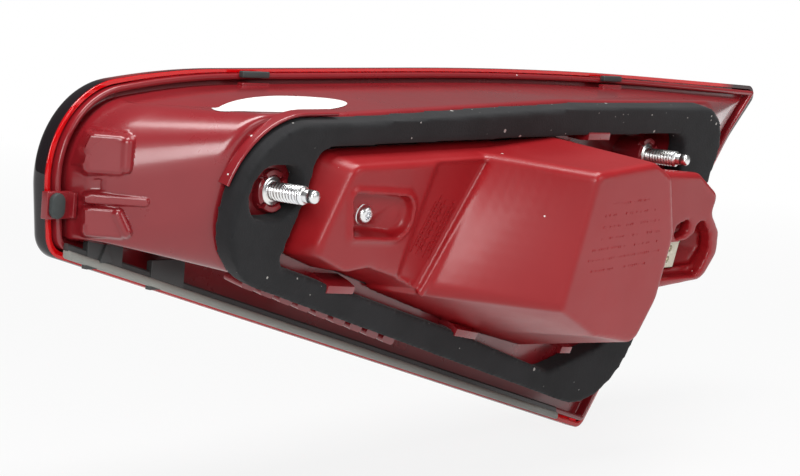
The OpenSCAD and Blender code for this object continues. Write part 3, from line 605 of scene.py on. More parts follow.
def end_height(u, v, n):
    """Height over the slope at u along it and v up it, where the bare skin has height n."""
    low = -LEAN * math.sin(END_SLOPE)
    ul = u - LEAN * math.cos(END_SLOPE)
    pad = plateau(box_distance(u, v, -2.2, 9.4, 3.1, 14.6, 1.2), 1.75)
    roll = roll_height(segment_distance(u, v, (10.2, 5.3), (10.2, 12.7))[0], 0.4, 2.0)
    n = smooth_max(n, pad, 0.8)
    n = smooth_max(n, roll, 0.35)
    pad = plateau(box_distance(ul, v, -2.8, 8.0 - 0.3 * (v + 12), -16.2, -7.8, 1.2), low + 1.6)
    roll = roll_height(segment_distance(ul, v, (7.2, -9.2), (9.9, -14.3))[0], low + 0.4, 2.0)
    n = smooth_max(n, pad, 0.8)
    n = smooth_max(n, roll, 0.35)
    d, t = segment_distance(ul, v, (-1.6, -4.9), (15.2, -5.0))
    n = smooth_max(n, plateau(d - 1.4 + 0.2 * t, low + 1.7, 3.5, 0.35), 0.5)
    pit = box_distance(u, v, -0.6, 3.2, -2.4, 1.0, 0.3)
    return -smooth_max(-n, plateau(pit, 2.4, 5.0, 0.2), 0.3)


def detail_end(point):
    if point.x > -24 or point.y > 37 or not -22 < point.z < 20 or point.y < 5:
        return point
    d = point - Vector((END_X, 30.0, 0))
    n = d.dot(OUT)
    return point + OUT * (end_height(d.dot(ALONG), point.z, n) - n)


print("slope of the outer end", round(math.degrees(END_SLOPE), 1), "degrees")

# %% [markdown]
# ## Studs' bosses, tabs and hooks
# Bosses with a slotted ring hold the studs, tabs carry the rubber buffers and hooks hold the cover.
# They are simple solids, so they are drawn as bars and boxes with a bevel. A union with the skin
# would cost time and change nothing that is seen, so they are meshes that reach into the skin.

# %% Small solids
def add_bar(bm, x, z, r, y0, y1, sides=48, chamfer=0.0, seat=False, hole=0.0):
    """A round bar along Y, with a small chamfer on its near end, or a tube with a hole."""
    place = tilted if seat else (lambda a, b, c: Vector((a, b, c)))
    radii = [(r - chamfer, y0), (r, y0 + chamfer), (r, y1)] if chamfer else [(r, y0), (r, y1)]
    if hole:
        radii = [(hole, y1), (hole, y0)] + radii + [(hole, y1)]
        radii = radii[1:-1] + [(hole, y1)]
    rings = [[place(x + q * math.cos(a), y, z + q * math.sin(a))
              for a in (2 * math.pi * k / sides for k in range(sides))] for q, y in radii]
    add_loft(bm, rings, capped=not hole)


def add_box(bm, low, high, seat=False, bevel=0.3):
    place = tilted if seat else (lambda a, b, c: Vector((a, b, c)))
    corners = [bm.verts.new(place(*((low, high)[(i >> k) & 1][k] for k in range(3))) * MM) for i in range(8)]
    faces = [(0, 1, 3, 2), (4, 6, 7, 5), (0, 4, 5, 1), (2, 3, 7, 6), (0, 2, 6, 4), (1, 5, 7, 3)]
    made = [bm.faces.new([corners[k] for k in f]) for f in faces]
    edges = list({e for f in made for e in f.edges})
    if bevel:
        bmesh.ops.bevel(bm, geom=edges, offset=bevel * MM, segments=3, profile=0.6, affect="EDGES")


def add_prism(bm, outline, place, t0, t1, bevel=0.25):
    """A flat outline given a thickness. place(a, b, t) says where a point lies."""
    rings = [[place(a, b, t) for a, b in outline] for t in (t0, t1)]
    rows = [[bm.verts.new(p * MM) for p in ring] for ring in rings]
    n = len(outline)
    made = [bm.faces.new((rows[0][j], rows[1][j], rows[1][(j + 1) % n], rows[0][(j + 1) % n])) for j in range(n)]
    made += [bm.faces.new(rows[0][::-1]), bm.faces.new(rows[1])]
    edges = list({e for f in made for e in f.edges})
    if bevel:
        bmesh.ops.bevel(bm, geom=edges, offset=bevel * MM, segments=2, profile=0.6, affect="EDGES")


def sweep(bm, path, sections, out):
    """A section carried along a path. Each section is a list of (along out, across) distances."""
    rings = []
    n = len(path)
    for i, p in enumerate(path):
        ahead = (path[min(i + 1, n - 1)] - path[max(i - 1, 0)]).normalized()
        up = (out(i) if callable(out) else out)
        up = (up - ahead * up.dot(ahead)).normalized()
        side = ahead.cross(up)
        section = sections(i / (n - 1)) if callable(sections) else sections
        rings.append([p + up * a + side * b for a, b in section])
    add_loft(bm, rings)


STUDS = [(0.0, 0.0), (213.0, 10.0)]
BOSS_R = 6.75


def add_crown(bm, x, z, slots=4, width=2.0, inner=4.95, low=1.6, high=-0.6):
    """The ring round a stud's collar, cut by slots."""
    for k in range(slots):
        a0 = math.pi / slots + 2 * math.pi * k / slots + width / 2 / BOSS_R
        a1 = math.pi / slots + 2 * math.pi * (k + 1) / slots - width / 2 / BOSS_R
        angles = [a0 + (a1 - a0) * j / 14 for j in range(15)]
        rings = [[Vector((x + r * math.cos(a), y, z - r * math.sin(a)))
                  for r, y in ((inner, low), (inner, high + 0.2), (inner + 0.2, high), (BOSS_R - 0.3, high),
                               (BOSS_R, high + 0.3), (BOSS_R, low))] for a in angles]
        add_loft(bm, rings)


print("studs at", STUDS)

# %% [markdown]
# ## Well round the inner stud
# Inside the seal's opening the housing steps back round the inner stud, so the stud stands on a tube
# of its own. The well is a real cavity: its outer form is joined to the skin and its inner form is
# taken out, with Blender's manifold boolean, which is exact and quick on closed meshes.

# %% Well and bores
WELL = [(158.0, 19.0, 3.0), (220.0, 22.5, 6.0), (229.0, 14.0, 5.0), (216.0, -8.0, 5.0), (158.0, -8.0, 3.0)]
WELL_DEPTH = 12.0


def slab_piece(name, corners, y0, y1):
    return loft(name, [seated(corners, y0), seated(corners, y1)])


def bar_piece(name, x, z, r, y0, y1, seat=False):
    bm = bmesh.new()
    add_bar(bm, x, z, r, y0, y1, 40, seat=seat)
    return finish_mesh(name, bm)


def housing_piece():
    outside, inside = housing_rings()
    skin = loft("housing_body", [[detail_end(p) for p in ring] for ring in outside] + inside)
    well_out = slab_piece("well_out", inset(WELL, -2.0), SEAT_BACK + 0.2, SEAT_BACK + WELL_DEPTH + 2)
    combine(skin, [well_out], "UNION")
    cuts = [slab_piece("well_in", WELL, SEAT_BACK - 3, SEAT_BACK + WELL_DEPTH)]
    cuts.append(slab_piece("window", [(SEAT_X0 + a * SEAT_LEN, SEAT_Z0 + b * SEAT_H, 5.0) for a, b in
                                      ((0.303, 0.795), (0.48, 0.819), (0.613, 0.795), (0.613, 0.378),
                                       (0.515, 0.378), (0.303, 0.528))], SEAT_BACK - 1, SEAT_BACK + WALL + 1))
    combine(skin, cuts, "DIFFERENCE")
    skin.data.polygons.foreach_set("use_smooth", [True] * len(skin.data.polygons))
    skin.data.set_sharp_from_angle(angle=math.radians(50))
    return skin


housing = housing_piece()
print("housing skin", triangles(housing), "triangles")

# %% [markdown]
# ## Everything that stands on the housing
# The outline of the seal gives the line of the raised wall beside its upper corner. The hooks
# follow the same seat frame, so nothing is placed by eye.

# %% Housing details
def seal_path(d, a, b, y):
    """Points of the seal's outline moved out by d, between two shares of its length."""
    points = resampled(rounded(inset(seat_corners(SEAL), -d)), 400)
    return [tilted(points[k % 400].x, y, points[k % 400].y) for k in range(int(a * 400), int(b * 400) + 1)]


def lid_section(w, h):
    """A wall w wide and h high with a rounded top."""
    top = [(h - w / 2 + w / 2 * math.sin(a), w / 2 * math.cos(a)) for a in (math.pi * k / 6 for k in range(7))]
    return [(-0.6, w / 2)] + top + [(-0.6, -w / 2)]


def wall_on_seat(bm, path, w, h):
    out = -(tilted(0, 1, 0) - tilted(0, 0, 0))
    sweep(bm, path, lid_section(w, h), out)


HOOKS = [(44.1, -31.6, 13.8, 175.4), (119.6, -53.2, 13.3, 169.4), (183.3, -63.5, 7.0, 175.0), (156.6, 18.4, 13.7, 0)]
HOOK_SIDE = [(0.6, -1.6), (0.6, 1.2), (-6.4, 1.0), (-7.0, 3.4), (-8.3, 2.8), (-8.5, 0.2), (-5.0, -0.8), (-1.0, -1.2)]


def add_hook(bm, x0, z0, width, turn):
    """A stem inside the seal's opening with a lip that reaches over the foam."""
    c, q = math.cos(math.radians(turn)), math.sin(math.radians(turn))

    def place(a, b, t):
        return tilted(x0 + t * c - b * q, SEAT_BACK + a, z0 + t * q + b * c)
    add_prism(bm, HOOK_SIDE, place, 0.0, width)


def housing_details():
    bm = bmesh.new()
    for x, z in STUDS:
        add_crown(bm, x, z)
        add_bar(bm, x, z, BOSS_R, 1.2, 16.0, 64)
    wall_on_seat(bm, seal_path(1.5, 0.012, 0.09, SEAT_BACK), 1.3, 3.4)
    for hook in HOOKS:
        add_hook(bm, *hook)
    add_box(bm, (X_END + 0.8, 37.9, -12.0), (X_END + 12.0, 40.6, -3.6), bevel=0.35)
    add_box(bm, (X_END + 9.4, 35.6, -11.6), (X_END + 11.0, 40.6, -3.8), bevel=0.3)
    for x in (24.0, 236.0):
        top = top_edge(x + 6.5)
        add_box(bm, (x, 38.0, top - 8.4), (x + 13.0, 40.6, top - 4.4), bevel=0.3)
    return finish_mesh("housing_details", bm)


def top_edge(x):
    c = rim_corners()
    i = 1 if x < c[2][0] else 2
    (x0, z0, _), (x1, z1, _) = c[i], c[i + 1]
    return z0 + (z1 - z0) * (x - x0) / (x1 - x0)


def foot_edge(x):
    c = rim_corners()
    (x0, z0, _), (x1, z1, _) = c[6], c[5]
    return z0 + (z1 - z0) * (x - x0) / (x1 - x0)


details = housing_details()
dressed(housing, HOUSING_RED, "housing_red", "housing")
dressed(details, HOUSING_RED, "housing_red")

# %% [markdown]
# ## Rows of raised slots
# The teeth below the seal, the bars that stand for the cover's moulded print and the fine dashes on
# its deep face are all the same thing: a rounded slot, lifted off a surface and repeated. One
# Geometry Nodes tree makes them, with its sizes as named inputs, so a row is a line of numbers.

# %% Slot rows in Geometry Nodes
def slot_rows_tree():
    tree = bpy.data.node_groups.new("Slot rows", "GeometryNodeTree")
    face = tree.interface
    face.new_socket("Geometry", in_out="INPUT", socket_type="NodeSocketGeometry")
    for label, kind, value in (("Count", "NodeSocketInt", 9), ("Step", "NodeSocketVector", (0.01, 0, 0)),
                               ("Length", "NodeSocketFloat", 0.005), ("Radius", "NodeSocketFloat", 0.001),
                               ("Height", "NodeSocketFloat", 0.002), ("Keep", "NodeSocketFloat", 1.0),
                               ("Jitter", "NodeSocketFloat", 0.0), ("Seed", "NodeSocketInt", 3),
                               ("Material", "NodeSocketMaterial", None)):
        socket = face.new_socket(label, in_out="INPUT", socket_type=kind)
        if value is not None:
            socket.default_value = value
    face.new_socket("Geometry", in_out="OUTPUT", socket_type="NodeSocketGeometry")
    gin, gout = tree.nodes.new("NodeGroupInput"), tree.nodes.new("NodeGroupOutput")
    link = tree.links.new
    line = tree.nodes.new("GeometryNodeMeshLine")
    link(gin.outputs["Count"], line.inputs["Count"])
    link(gin.outputs["Step"], line.inputs["Offset"])
    quad = tree.nodes.new("GeometryNodeCurvePrimitiveQuadrilateral")
    link(gin.outputs["Length"], quad.inputs["Width"])
    double = tree.nodes.new("ShaderNodeMath")
    double.operation, double.inputs[1].default_value = "MULTIPLY", 2.0
    link(gin.outputs["Radius"], double.inputs[0])
    link(double.outputs[0], quad.inputs["Height"])
    fillet = tree.nodes.new("GeometryNodeFilletCurve")
    fillet.mode = "POLY"
    fillet.inputs["Count"].default_value = 5
    less = tree.nodes.new("ShaderNodeMath")
    less.operation, less.inputs[1].default_value = "MULTIPLY", 0.96
    link(gin.outputs["Radius"], less.inputs[0])
    link(quad.outputs[0], fillet.inputs["Curve"])
    link(less.outputs[0], fillet.inputs["Radius"])
    fill = tree.nodes.new("GeometryNodeFillCurve")
    fill.mode = "NGONS"
    link(fillet.outputs[0], fill.inputs[0])
    extrude = tree.nodes.new("GeometryNodeExtrudeMesh")
    extrude.inputs["Individual"].default_value = False
    link(fill.outputs[0], extrude.inputs["Mesh"])
    link(gin.outputs["Height"], extrude.inputs["Offset Scale"])
    shade = tree.nodes.new("GeometryNodeSetShadeSmooth")
    shade.inputs["Shade Smooth"].default_value = False
    link(extrude.outputs["Mesh"], shade.inputs["Geometry"])
    keep = tree.nodes.new("FunctionNodeRandomValue")
    keep.data_type = "FLOAT"
    link(gin.outputs["Seed"], keep.inputs["Seed"])
    some = tree.nodes.new("FunctionNodeCompare")
    some.data_type, some.operation = "FLOAT", "LESS_EQUAL"
    link(keep.outputs[1], some.inputs[0])
    link(gin.outputs["Keep"], some.inputs[1])
    wobble = tree.nodes.new("FunctionNodeRandomValue")
    wobble.data_type = "FLOAT_VECTOR"
    link(gin.outputs["Seed"], wobble.inputs["Seed"])
    centre = tree.nodes.new("ShaderNodeVectorMath")
    centre.operation, centre.inputs[1].default_value = "SUBTRACT", (0.5, 0.5, 0.5)
    link(wobble.outputs[0], centre.inputs[0])
    scale = tree.nodes.new("ShaderNodeVectorMath")
    scale.operation = "SCALE"
    link(centre.outputs[0], scale.inputs[0])
    link(gin.outputs["Jitter"], scale.inputs["Scale"])
    shift = tree.nodes.new("GeometryNodeSetPosition")
    link(line.outputs[0], shift.inputs["Geometry"])
    link(scale.outputs[0], shift.inputs["Offset"])
    placed = tree.nodes.new("GeometryNodeInstanceOnPoints")
    link(shift.outputs[0], placed.inputs["Points"])
    link(some.outputs[0], placed.inputs["Selection"])
    link(shade.outputs[0], placed.inputs["Instance"])
    real = tree.nodes.new("GeometryNodeRealizeInstances")
    link(placed.outputs[0], real.inputs[0])
    coat = tree.nodes.new("GeometryNodeSetMaterial")
    link(real.outputs[0], coat.inputs["Geometry"])
    link(gin.outputs["Material"], coat.inputs["Material"])
    link(coat.outputs[0], gout.inputs["Geometry"])
    return tree


SLOT_ROWS = slot_rows_tree()


def socket_id(tree, label):
    return next(s.identifier for s in tree.interface.items_tree
                if s.item_type == "SOCKET" and s.in_out == "INPUT" and s.name == label)


def slot_row(matrix, material, **values):
    """A row of slots as a plain mesh. The tree lays it in X and Y with its height along Z."""
    carrier = bpy.data.objects.new("row", bpy.data.meshes.new("row"))
    bpy.context.scene.collection.objects.link(carrier)
    mod = carrier.modifiers.new("rows", "NODES")
    mod.node_group = SLOT_ROWS
    mod[socket_id(SLOT_ROWS, "Material")] = material
    for label, value in values.items():
        mod[socket_id(SLOT_ROWS, label)] = value
    graph = bpy.context.evaluated_depsgraph_get()
    mesh = bpy.data.meshes.new_from_object(carrier.evaluated_get(graph))
    mesh.transform(matrix)
    bpy.data.objects.remove(carrier)
    return mesh


def joined(name, meshes):
    """One object from several meshes."""
    bm = bmesh.new()
    for mesh in meshes:
        bm.from_mesh(mesh)
        bpy.data.meshes.remove(mesh)
    made = bpy.data.meshes.new(name)
    bm.to_mesh(made)
    bm.free()
    piece = bpy.data.objects.new(name, made)
    bpy.context.scene.collection.objects.link(piece)
    return piece


def seat_matrix(x, y, z, turn=0.0, out=Vector((0, -1, 0)), along=Vector((1, 0, 0))):
    """A frame on the seat: X along it, Z out of it, given in the seal's own axes."""
    out = out.normalized()
    a = (along - out * along.dot(out)).normalized()
    b = out.cross(a)
    c, s = math.cos(turn), math.sin(turn)
    a, b = a * c + b * s, b * c - a * s
    local = Matrix((a, b, out)).transposed().to_4x4()
    return Matrix.Rotation(SEAT_TILT, 4, "X") @ Matrix.Translation(Vector((x, y, z)) * MM) @ local


teeth = joined("seat_teeth", [slot_row(
    seat_matrix(0.5, 9.0, -31.7, math.atan(-0.308)), HOUSING_RED, Count=9, Step=(0.01022, 0, 0),
    Length=0.0070, Radius=0.0014, Height=0.0080)])
dressed(teeth, HOUSING_RED, "housing_red")

# %% [markdown]
# ## The rear cover
# The cover is a hollow shell of three blocks of different depth that run into each other. Its edges
# are all soft, and where the blocks meet they blend. Sharp lofts are joined, hollowed and cut first.
# A voxel remesh with a few rounds of smoothing then gives every edge the same moulded radius.

# %% Cover blocks
LOW_BASE = [(0.131, 0.854, 0.6), (0.478, 0.882, 0.6), (0.496, 0.354, 0.6), (0.376, 0.417, 0.9),
            (0.285, 0.480, 0.9), (0.223, 0.520, 0.9), (0.175, 0.539, 0.9), (0.109, 0.587, 0.4)]
LOW_TOP = [(0.151, 0.846, 0.5), (0.478, 0.870, 0.5), (0.496, 0.394, 0.5), (0.376, 0.457, 0.8),
           (0.285, 0.531, 0.8), (0.223, 0.567, 0.8), (0.182, 0.559, 0.8), (0.115, 0.614, 0.4)]
DEEP_BASE = [(0.386, 0.858, 0.4), (0.573, 0.894, 0.8), (0.631, 0.882, 0.5), (0.682, 0.724, 1.2),
             (0.690, 0.512, 1.2), (0.672, 0.236, 0.6), (0.518, 0.316, 0.5), (0.278, 0.475, 0.4)]
DEEP_TOP = [(0.445, 0.909, 0.4), (0.573, 0.937, 0.8), (0.617, 0.898, 0.5), (0.661, 0.724, 1.2),
            (0.661, 0.535, 1.2), (0.635, 0.402, 0.6), (0.540, 0.437, 0.5), (0.440, 0.528, 0.4)]
PLUG_BASE = [(0.615, 0.860, 0.4), (0.792, 0.795, 0.6), (0.855, 0.735, 0.5), (0.860, 0.690, 0.4),
             (0.882, 0.640, 0.4), (0.876, 0.559, 0.6), (0.850, 0.433, 0.7), (0.807, 0.354, 0.8),
             (0.610, 0.296, 0.4)]
PLUG_TOP = [(0.610, 0.846, 0.4), (0.850, 0.834, 0.6), (0.916, 0.764, 0.5), (0.911, 0.709, 0.4),
            (0.945, 0.646, 0.5), (0.956, 0.575, 0.6), (0.934, 0.488, 0.7), (0.825, 0.472, 0.8),
            (0.610, 0.433, 0.4)]
PLUG_WINDOW = [(0.878, 0.681, 0.2), (0.896, 0.681, 0.2), (0.919, 0.638, 0.4), (0.931, 0.583, 0.4),
               (0.917, 0.504, 0.4), (0.770, 0.504, 0.2), (0.770, 0.614, 0.2), (0.854, 0.622, 0.2),
               (0.874, 0.638, 0.2)]
PANEL = [(60.0, 13.6, 1.0), (90.2, 14.4, 1.0), (68.4, -32.0, 1.0), (53.0, -27.4, 1.0)]
PANEL_FLOOR = [(64.5, 12.6, 1.0), (89.2, 13.2, 1.0), (68.6, -30.6, 1.0), (58.0, -26.6, 1.0)]
PANEL_DEEP = 1.8
RIDGE = ((91.2, 14.6), (68.9, -33.4))
POCKET = [(21.6, 3.6, 1.6), (53.6, 1.8, 6.4), (53.6, -12.4, 6.4), (26.2, -11.0, 1.6)]
POCKET_DEEP, POCKET_RIM = 6.2, 1.4
SCREW_PLACE = (36.0, -5.6)
COVER_LOW, COVER_DEEP, COVER_PLUG, COVER_WALL, COVER_Y = 16.0, 52.0, 26.0, 2.4, 1.0


def spread(corners, cuts=10):
    """The rounded outline with its straight edges divided too."""
    arc = ARC_STEPS + 1
    q = rounded(corners)
    out = []
    for i, p in enumerate(q):
        n = cuts if (i + 1) % arc == 0 else 1
        out += [p.lerp(q[(i + 1) % len(q)], k / n) for k in range(n)]
    return out


def seat_ring(corners, y):
    return [tilted(p.x, y, p.y) for p in spread(corners)]


def mix_corners(a, b, t):
    return [tuple(p + (q - p) * t for p, q in zip(c, d)) for c, d in zip(a, b)]


def cover_block(name, base, top, height, wall):
    b, t = inset(seat_corners(base), wall), inset(seat_corners(top), wall)
    y = SEAT_BACK - height + wall
    rings = [seat_ring(inset(t, 2.0), y), seat_ring(inset(t, 0.6), y + 0.6)]
    rings += [seat_ring(mix_corners(t, b, k / 14), y + 2 + (COVER_Y - y - 2) * k / 14) for k in range(14)]
    rings.append(seat_ring(b, COVER_Y + (1.5 if wall else 0)))
    return loft(name, rings)


def cover_blocks(wall):
    blocks = [cover_block("low", LOW_BASE, LOW_TOP, COVER_LOW, wall),
              cover_block("deep", DEEP_BASE, DEEP_TOP, COVER_DEEP, wall),
              cover_block("plug", PLUG_BASE, PLUG_TOP, COVER_PLUG, wall * 2)]
    return combine(blocks[0], blocks[1:], "UNION")


def pocket(name, grow, y_top, deep):
    """The screw's pocket: deep and straight at its outer end, and rising to a round inner end."""
    outline = inset(POCKET, -grow)

    def floor_y(x):
        return y_top + deep - 3.2 * min(max((x - 41.0) / 10.0, 0), 1)
    rings = [seat_ring(outline, y_top - 3), seat_ring(outline, y_top)]
    rings += [[tilted(p.x, y_top + (floor_y(p.x) - y_top) * t, p.y) for p in spread(inset(outline, 0.8 * t))]
              for t in (0.4, 0.8, 1.0)]
    return loft(name, rings)


def cover_piece():
    top = SEAT_BACK - COVER_LOW
    shell = cover_blocks(0)
    rim = loft("rim", [seat_ring(inset(POCKET, 0.2 - POCKET_RIM), top - 1.3), seat_ring(inset(POCKET, -2.8), top + 1)])
    bm = bmesh.new()
    sweep(bm, [tilted(RIDGE[0][0] + (RIDGE[1][0] - RIDGE[0][0]) * k / 20, top,
                      RIDGE[0][1] + (RIDGE[1][1] - RIDGE[0][1]) * k / 20) for k in range(21)],
          lid_section(3.4, 1.5), tilted(0, -1, 0))
    combine(shell, [rim, finish_mesh("ridge", bm)], "UNION")
    panel = loft("panel", [seat_ring(PANEL, top - 0.3), seat_ring(PANEL_FLOOR, top + PANEL_DEEP)])
    combine(shell, [panel, pocket("pit", 0, top, POCKET_DEEP)], "DIFFERENCE")
    hollow = cover_blocks(COVER_WALL)
    solid = loft("panel_wall", [seat_ring(inset(PANEL, -1.5), top - 1.0),
                                seat_ring(inset(PANEL, -1.5), top + PANEL_DEEP + COVER_WALL)])
    combine(hollow, [solid, pocket("pit_wall", COVER_WALL, top, POCKET_DEEP + COVER_WALL)], "DIFFERENCE")
    combine(shell, [hollow], "DIFFERENCE")
    y0 = SEAT_BACK - COVER_PLUG - 2
    window = loft("window", [seat_ring(seat_corners(PLUG_WINDOW), y0),
                             seat_ring(seat_corners(PLUG_WINDOW), y0 + 2 * COVER_WALL + 2.5)])
    vent_ring = [(207.5 + 3.5 * t + 3.2 * math.cos(a), -11.8 + t + 3.2 * math.sin(a))
                 for a, t in ((2 * math.pi * k / 32, 1 if math.cos(2 * math.pi * k / 32) > 0 else 0)
                              for k in range(32))]
    vent = loft("vent", [[tilted(p[0], y, p[1]) for p in vent_ring] for y in (y0, y0 + 2 * COVER_WALL + 2.5)])
    combine(shell, [window, vent, bar_piece("hole", *SCREW_PLACE, 2.2, top, top + 9, seat=True)], "DIFFERENCE")
    back = inset(seat_corners(PLUG_BASE)[1:8], 0.6)
    combine(shell, [slab_piece("plug_back", back, COVER_Y - 1.8, COVER_Y)], "UNION")
    return softened(shell, 0.8, 4)


cover = cover_piece()
cover.name = "cover_shell"
dressed(cover, COVER_RED, "cover_red", "rear_cover")

# %% [markdown]
# ## Print on the cover
# The real cover carries moulded print, which this part doesn't repeat. Plain bars in rows keep the
# same texture on the low panel, and fine dashes with gaps keep it on the deep face. The rows lie in
# the seal's frame, at the depth of the panel floor and of the deep face.

# %% Bars and dashes
PRINT_ROWS = [(0.0, 3, 6.6, 5.8, 0.17), (1.6, 13, 1.5, 1.0, 0.42), (3.4, 3, 6.6, 5.8, 0.17), (5.5, 7, 2.8, 2.0, 1.0),
              (7.7, 3, 6.6, 5.8, 0.17), (9.5, 13, 1.5, 1.0, 0.42), (11.1, 3, 6.6, 5.8, 0.17)]
FACE_ROWS = [(115.0, 9.9, 18), (112.0, 5.6, 25), (111.5, 1.4, 29), (111.0, -2.8, 32), (110.0, -6.6, 34),
             (109.0, -10.4, 35), (111.0, -14.4, 28)]


def print_rows():
    """Rows that run along the ridge: long thin bars, small slots and one row of large ones."""
    y, turn = SEAT_BACK - COVER_LOW + PANEL_DEEP, math.radians(68)
    return [slot_row(seat_matrix(61.8 + 0.95 * across, y + 0.15, -15.6 - 0.28 * across, turn), COVER_RED, Count=count,
                     Step=(step * MM, 0, 0), Length=length * MM, Radius=radius * MM, Height=0.00055, Seed=5)
            for across, count, step, length, radius in PRINT_ROWS]


def face_rows():
    """Fine rows on the deep face, with some slots left out, as words would be."""
    y = SEAT_BACK - COVER_DEEP
    return [slot_row(seat_matrix(x, y + 0.15, z, math.radians(3)), COVER_RED, Count=count, Step=(0.00125, 0, 0),
                     Length=0.00085, Radius=0.00042, Height=0.00022, Keep=0.82, Jitter=0.0002, Seed=11 + k)
            for k, (x, z, count) in enumerate(FACE_ROWS)]


marks = joined("cover_marks", print_rows() + face_rows())
dressed(marks, COVER_RED, "cover_red")

# %% [markdown]
# ## The foam seal
# The seal is cut from a sheet of closed cell foam. Its outline and its opening are the same rounded
# outlines as in the CAD model. A voxel remesh softens the cut edges a little, and a slow noise
# makes its faces uneven, as pressed foam is.

# %% Seal
def seal_piece():
    top = SEAT_BACK - 8.0
    body = slab_piece("foam", seat_corners(SEAL), top, SEAT_BACK)
    hole = slab_piece("hole", seat_corners(OPENING), top - 1, SEAT_BACK + 1)
    ends = [(-7.0, 1.0), (-1.0, 1.0)]
    ring = [(ends[0 if math.cos(a) < 0 else 1][0] + 9 * math.cos(a), 1.0 + 9 * math.sin(a))
            for a in (2 * math.pi * k / 64 for k in range(64))]
    slot = loft("slot", [[tilted(p[0], y, p[1]) for p in ring] for y in (top - 1, SEAT_BACK + 1)])
    combine(body, [hole, slot], "DIFFERENCE")
    softened(body, 1.0, 3)
    for v in body.data.vertices:
        p = v.co * 22
        v.co += v.normal * 0.00009 * noise.noise(p)
    return body


seal = seal_piece()
seal.name = "seal_foam_ring"
dressed(seal, SEAL_FOAM, "seal_foam", "foam_seal")

# %% [markdown]
# ## Zinc plated steel
# The studs and the screw are bright zinc: nearly white metal with a faint blue and yellow tint that
# changes slowly over the surface, and a little unevenness in its gloss.

# %% Metal material
def metal(name, light, warm, rough):
    material, tree, shader = new_material(name)
    where = node(tree, "ShaderNodeTexCoord").outputs["Object"]
    tint = ramp(tree, noise_value(tree, where, 160.0, 2.0), 0.35, 0.65)
    tree.links.new(mix_colour(tree, tint, light + (1,), warm + (1,)), shader.inputs["Base Color"])
    shine = math_node(tree, "MULTIPLY_ADD", noise_value(tree, where, 300.0, 2.0), 0.08)
    tree.nodes[-1].inputs[2].default_value = rough
    tree.links.new(shine, shader.inputs["Roughness"])
    shader.inputs["Metallic"].default_value = 1.0
    return material


ZINC = metal("bright zinc", (0.88, 0.89, 0.91), (0.9, 0.89, 0.86), 0.24)
TIN = metal("tinned brass", (0.8, 0.68, 0.42), (0.7, 0.58, 0.36), 0.25)

# %% [markdown]
# ## Threaded studs
# A thread is a helix, not a stack of rings. The stud is a sheet of points, round and along, whose
# radius follows a wave that moves on by one pitch in each turn. Crest and root are cut flat, the
# thread fades out at both ends, and the lead at the tip has a rounded end.

# %% Studs
def stud_radius(t, turn, pitch=1.25, r=3.0, depth=0.45, start=1.1, end=12.6):
    phase = (t / pitch - turn) % 1.0
    wave = min(max(1.55 * (1 - abs(2 * phase - 1)) * 1.15 - 0.28, 0), 1)
    fade = min(max((t - start) / 0.5, 0), 1) * min(max((end - t) / 0.5, 0), 1)
    return r - depth * wave * fade


def stud_piece(name, x, z):
    bm = bmesh.new()
    sides, rows = 56, 150
    rings = []
    for i in range(rows + 1):
        t = 12.9 * i / rows
        rings.append([Vector((x + q * math.cos(a), -t, z + q * math.sin(a))) for q, a in
                      ((stud_radius(t, k / sides), 2 * math.pi * k / sides) for k in range(sides))])
    for q, t in ((2.75, 13.0), (2.2, 13.5), (2.12, 13.7), (2.12, 15.2), (2.0, 15.35), (2.0, 15.6), (2.12, 15.75),
                 (2.1, 17.6), (1.9, 18.05), (1.5, 18.35)):
        rings.append([Vector((x + q * math.cos(a), -t, z + q * math.sin(a)))
                      for a in (2 * math.pi * k / sides for k in range(sides))])
    add_loft(bm, rings)
    profile = [(2.9, -0.35), (3.6, -0.35), (3.75, -0.12), (4.3, -0.1), (4.75, 0.15), (4.75, 1.5), (3.0, 1.5)]
    rings = [[Vector((x + q * math.cos(a), y, z + q * math.sin(a))) for q, y in profile]
             for a in (2 * math.pi * k / 64 for k in range(64))]
    rows_made = [[bm.verts.new(p * MM) for p in ring] for ring in rings]
    for r0, r1 in zip(rows_made, rows_made[1:] + rows_made[:1]):
        for j in range(len(profile)):
            bm.faces.new((r0[j], r1[j], r1[(j + 1) % len(profile)], r0[(j + 1) % len(profile)]))
    return finish_mesh(name, bm, math.radians(75))


for stud_name, node_name, (x, z) in (("stud_outer", "outer_stud", STUDS[0]), ("stud_inner", "inner_stud", STUDS[1])):
    dressed(stud_piece(stud_name, x, z), ZINC, "zinc_steel", node_name)

# %% [markdown]
# ## Cover screw
# The screw has a low domed head with a six lobed drive and a pin in its middle. The head is turned
# from a profile. The lobes are a wave in the radius of the recess.

# %% Screw
def screw_piece():
    bm = bmesh.new()
    (x, z), y = SCREW_PLACE, SEAT_BACK - COVER_LOW + POCKET_DEEP - 0.5
    sides = 72

    def ring(q, dy, lobes=0.0):
        return [tilted(x + (q + lobes * math.cos(6 * a)) * math.cos(a), y + dy,
                       z + (q + lobes * math.cos(6 * a)) * math.sin(a))
                for a in (2 * math.pi * k / sides for k in range(sides))]
    add_loft(bm, [ring(1.75, 8.0), ring(1.75, 0.0), ring(3.7, 0.0), ring(3.7, -0.5), ring(3.35, -0.6),
                  ring(3.3, -1.2), ring(3.05, -1.9), ring(2.5, -2.4), ring(1.75, -2.6), ring(1.4, -2.62, 0.14),
                  ring(1.3, -2.5, 0.16), ring(1.3, -1.4, 0.16), ring(0.5, -1.4), ring(0.5, -2.2), ring(0.4, -2.3)])
    return finish_mesh("cover_screw_head", bm, math.radians(40))


dressed(screw_piece(), ZINC, "zinc_steel", "cover_screw")

# %% [markdown]
# ## Rubber buffers
# Three soft grey buffers keep the lamp off the car's body. They sit on the tabs and are plain
# rounded pads, so each is a small solid with a generous bevel.

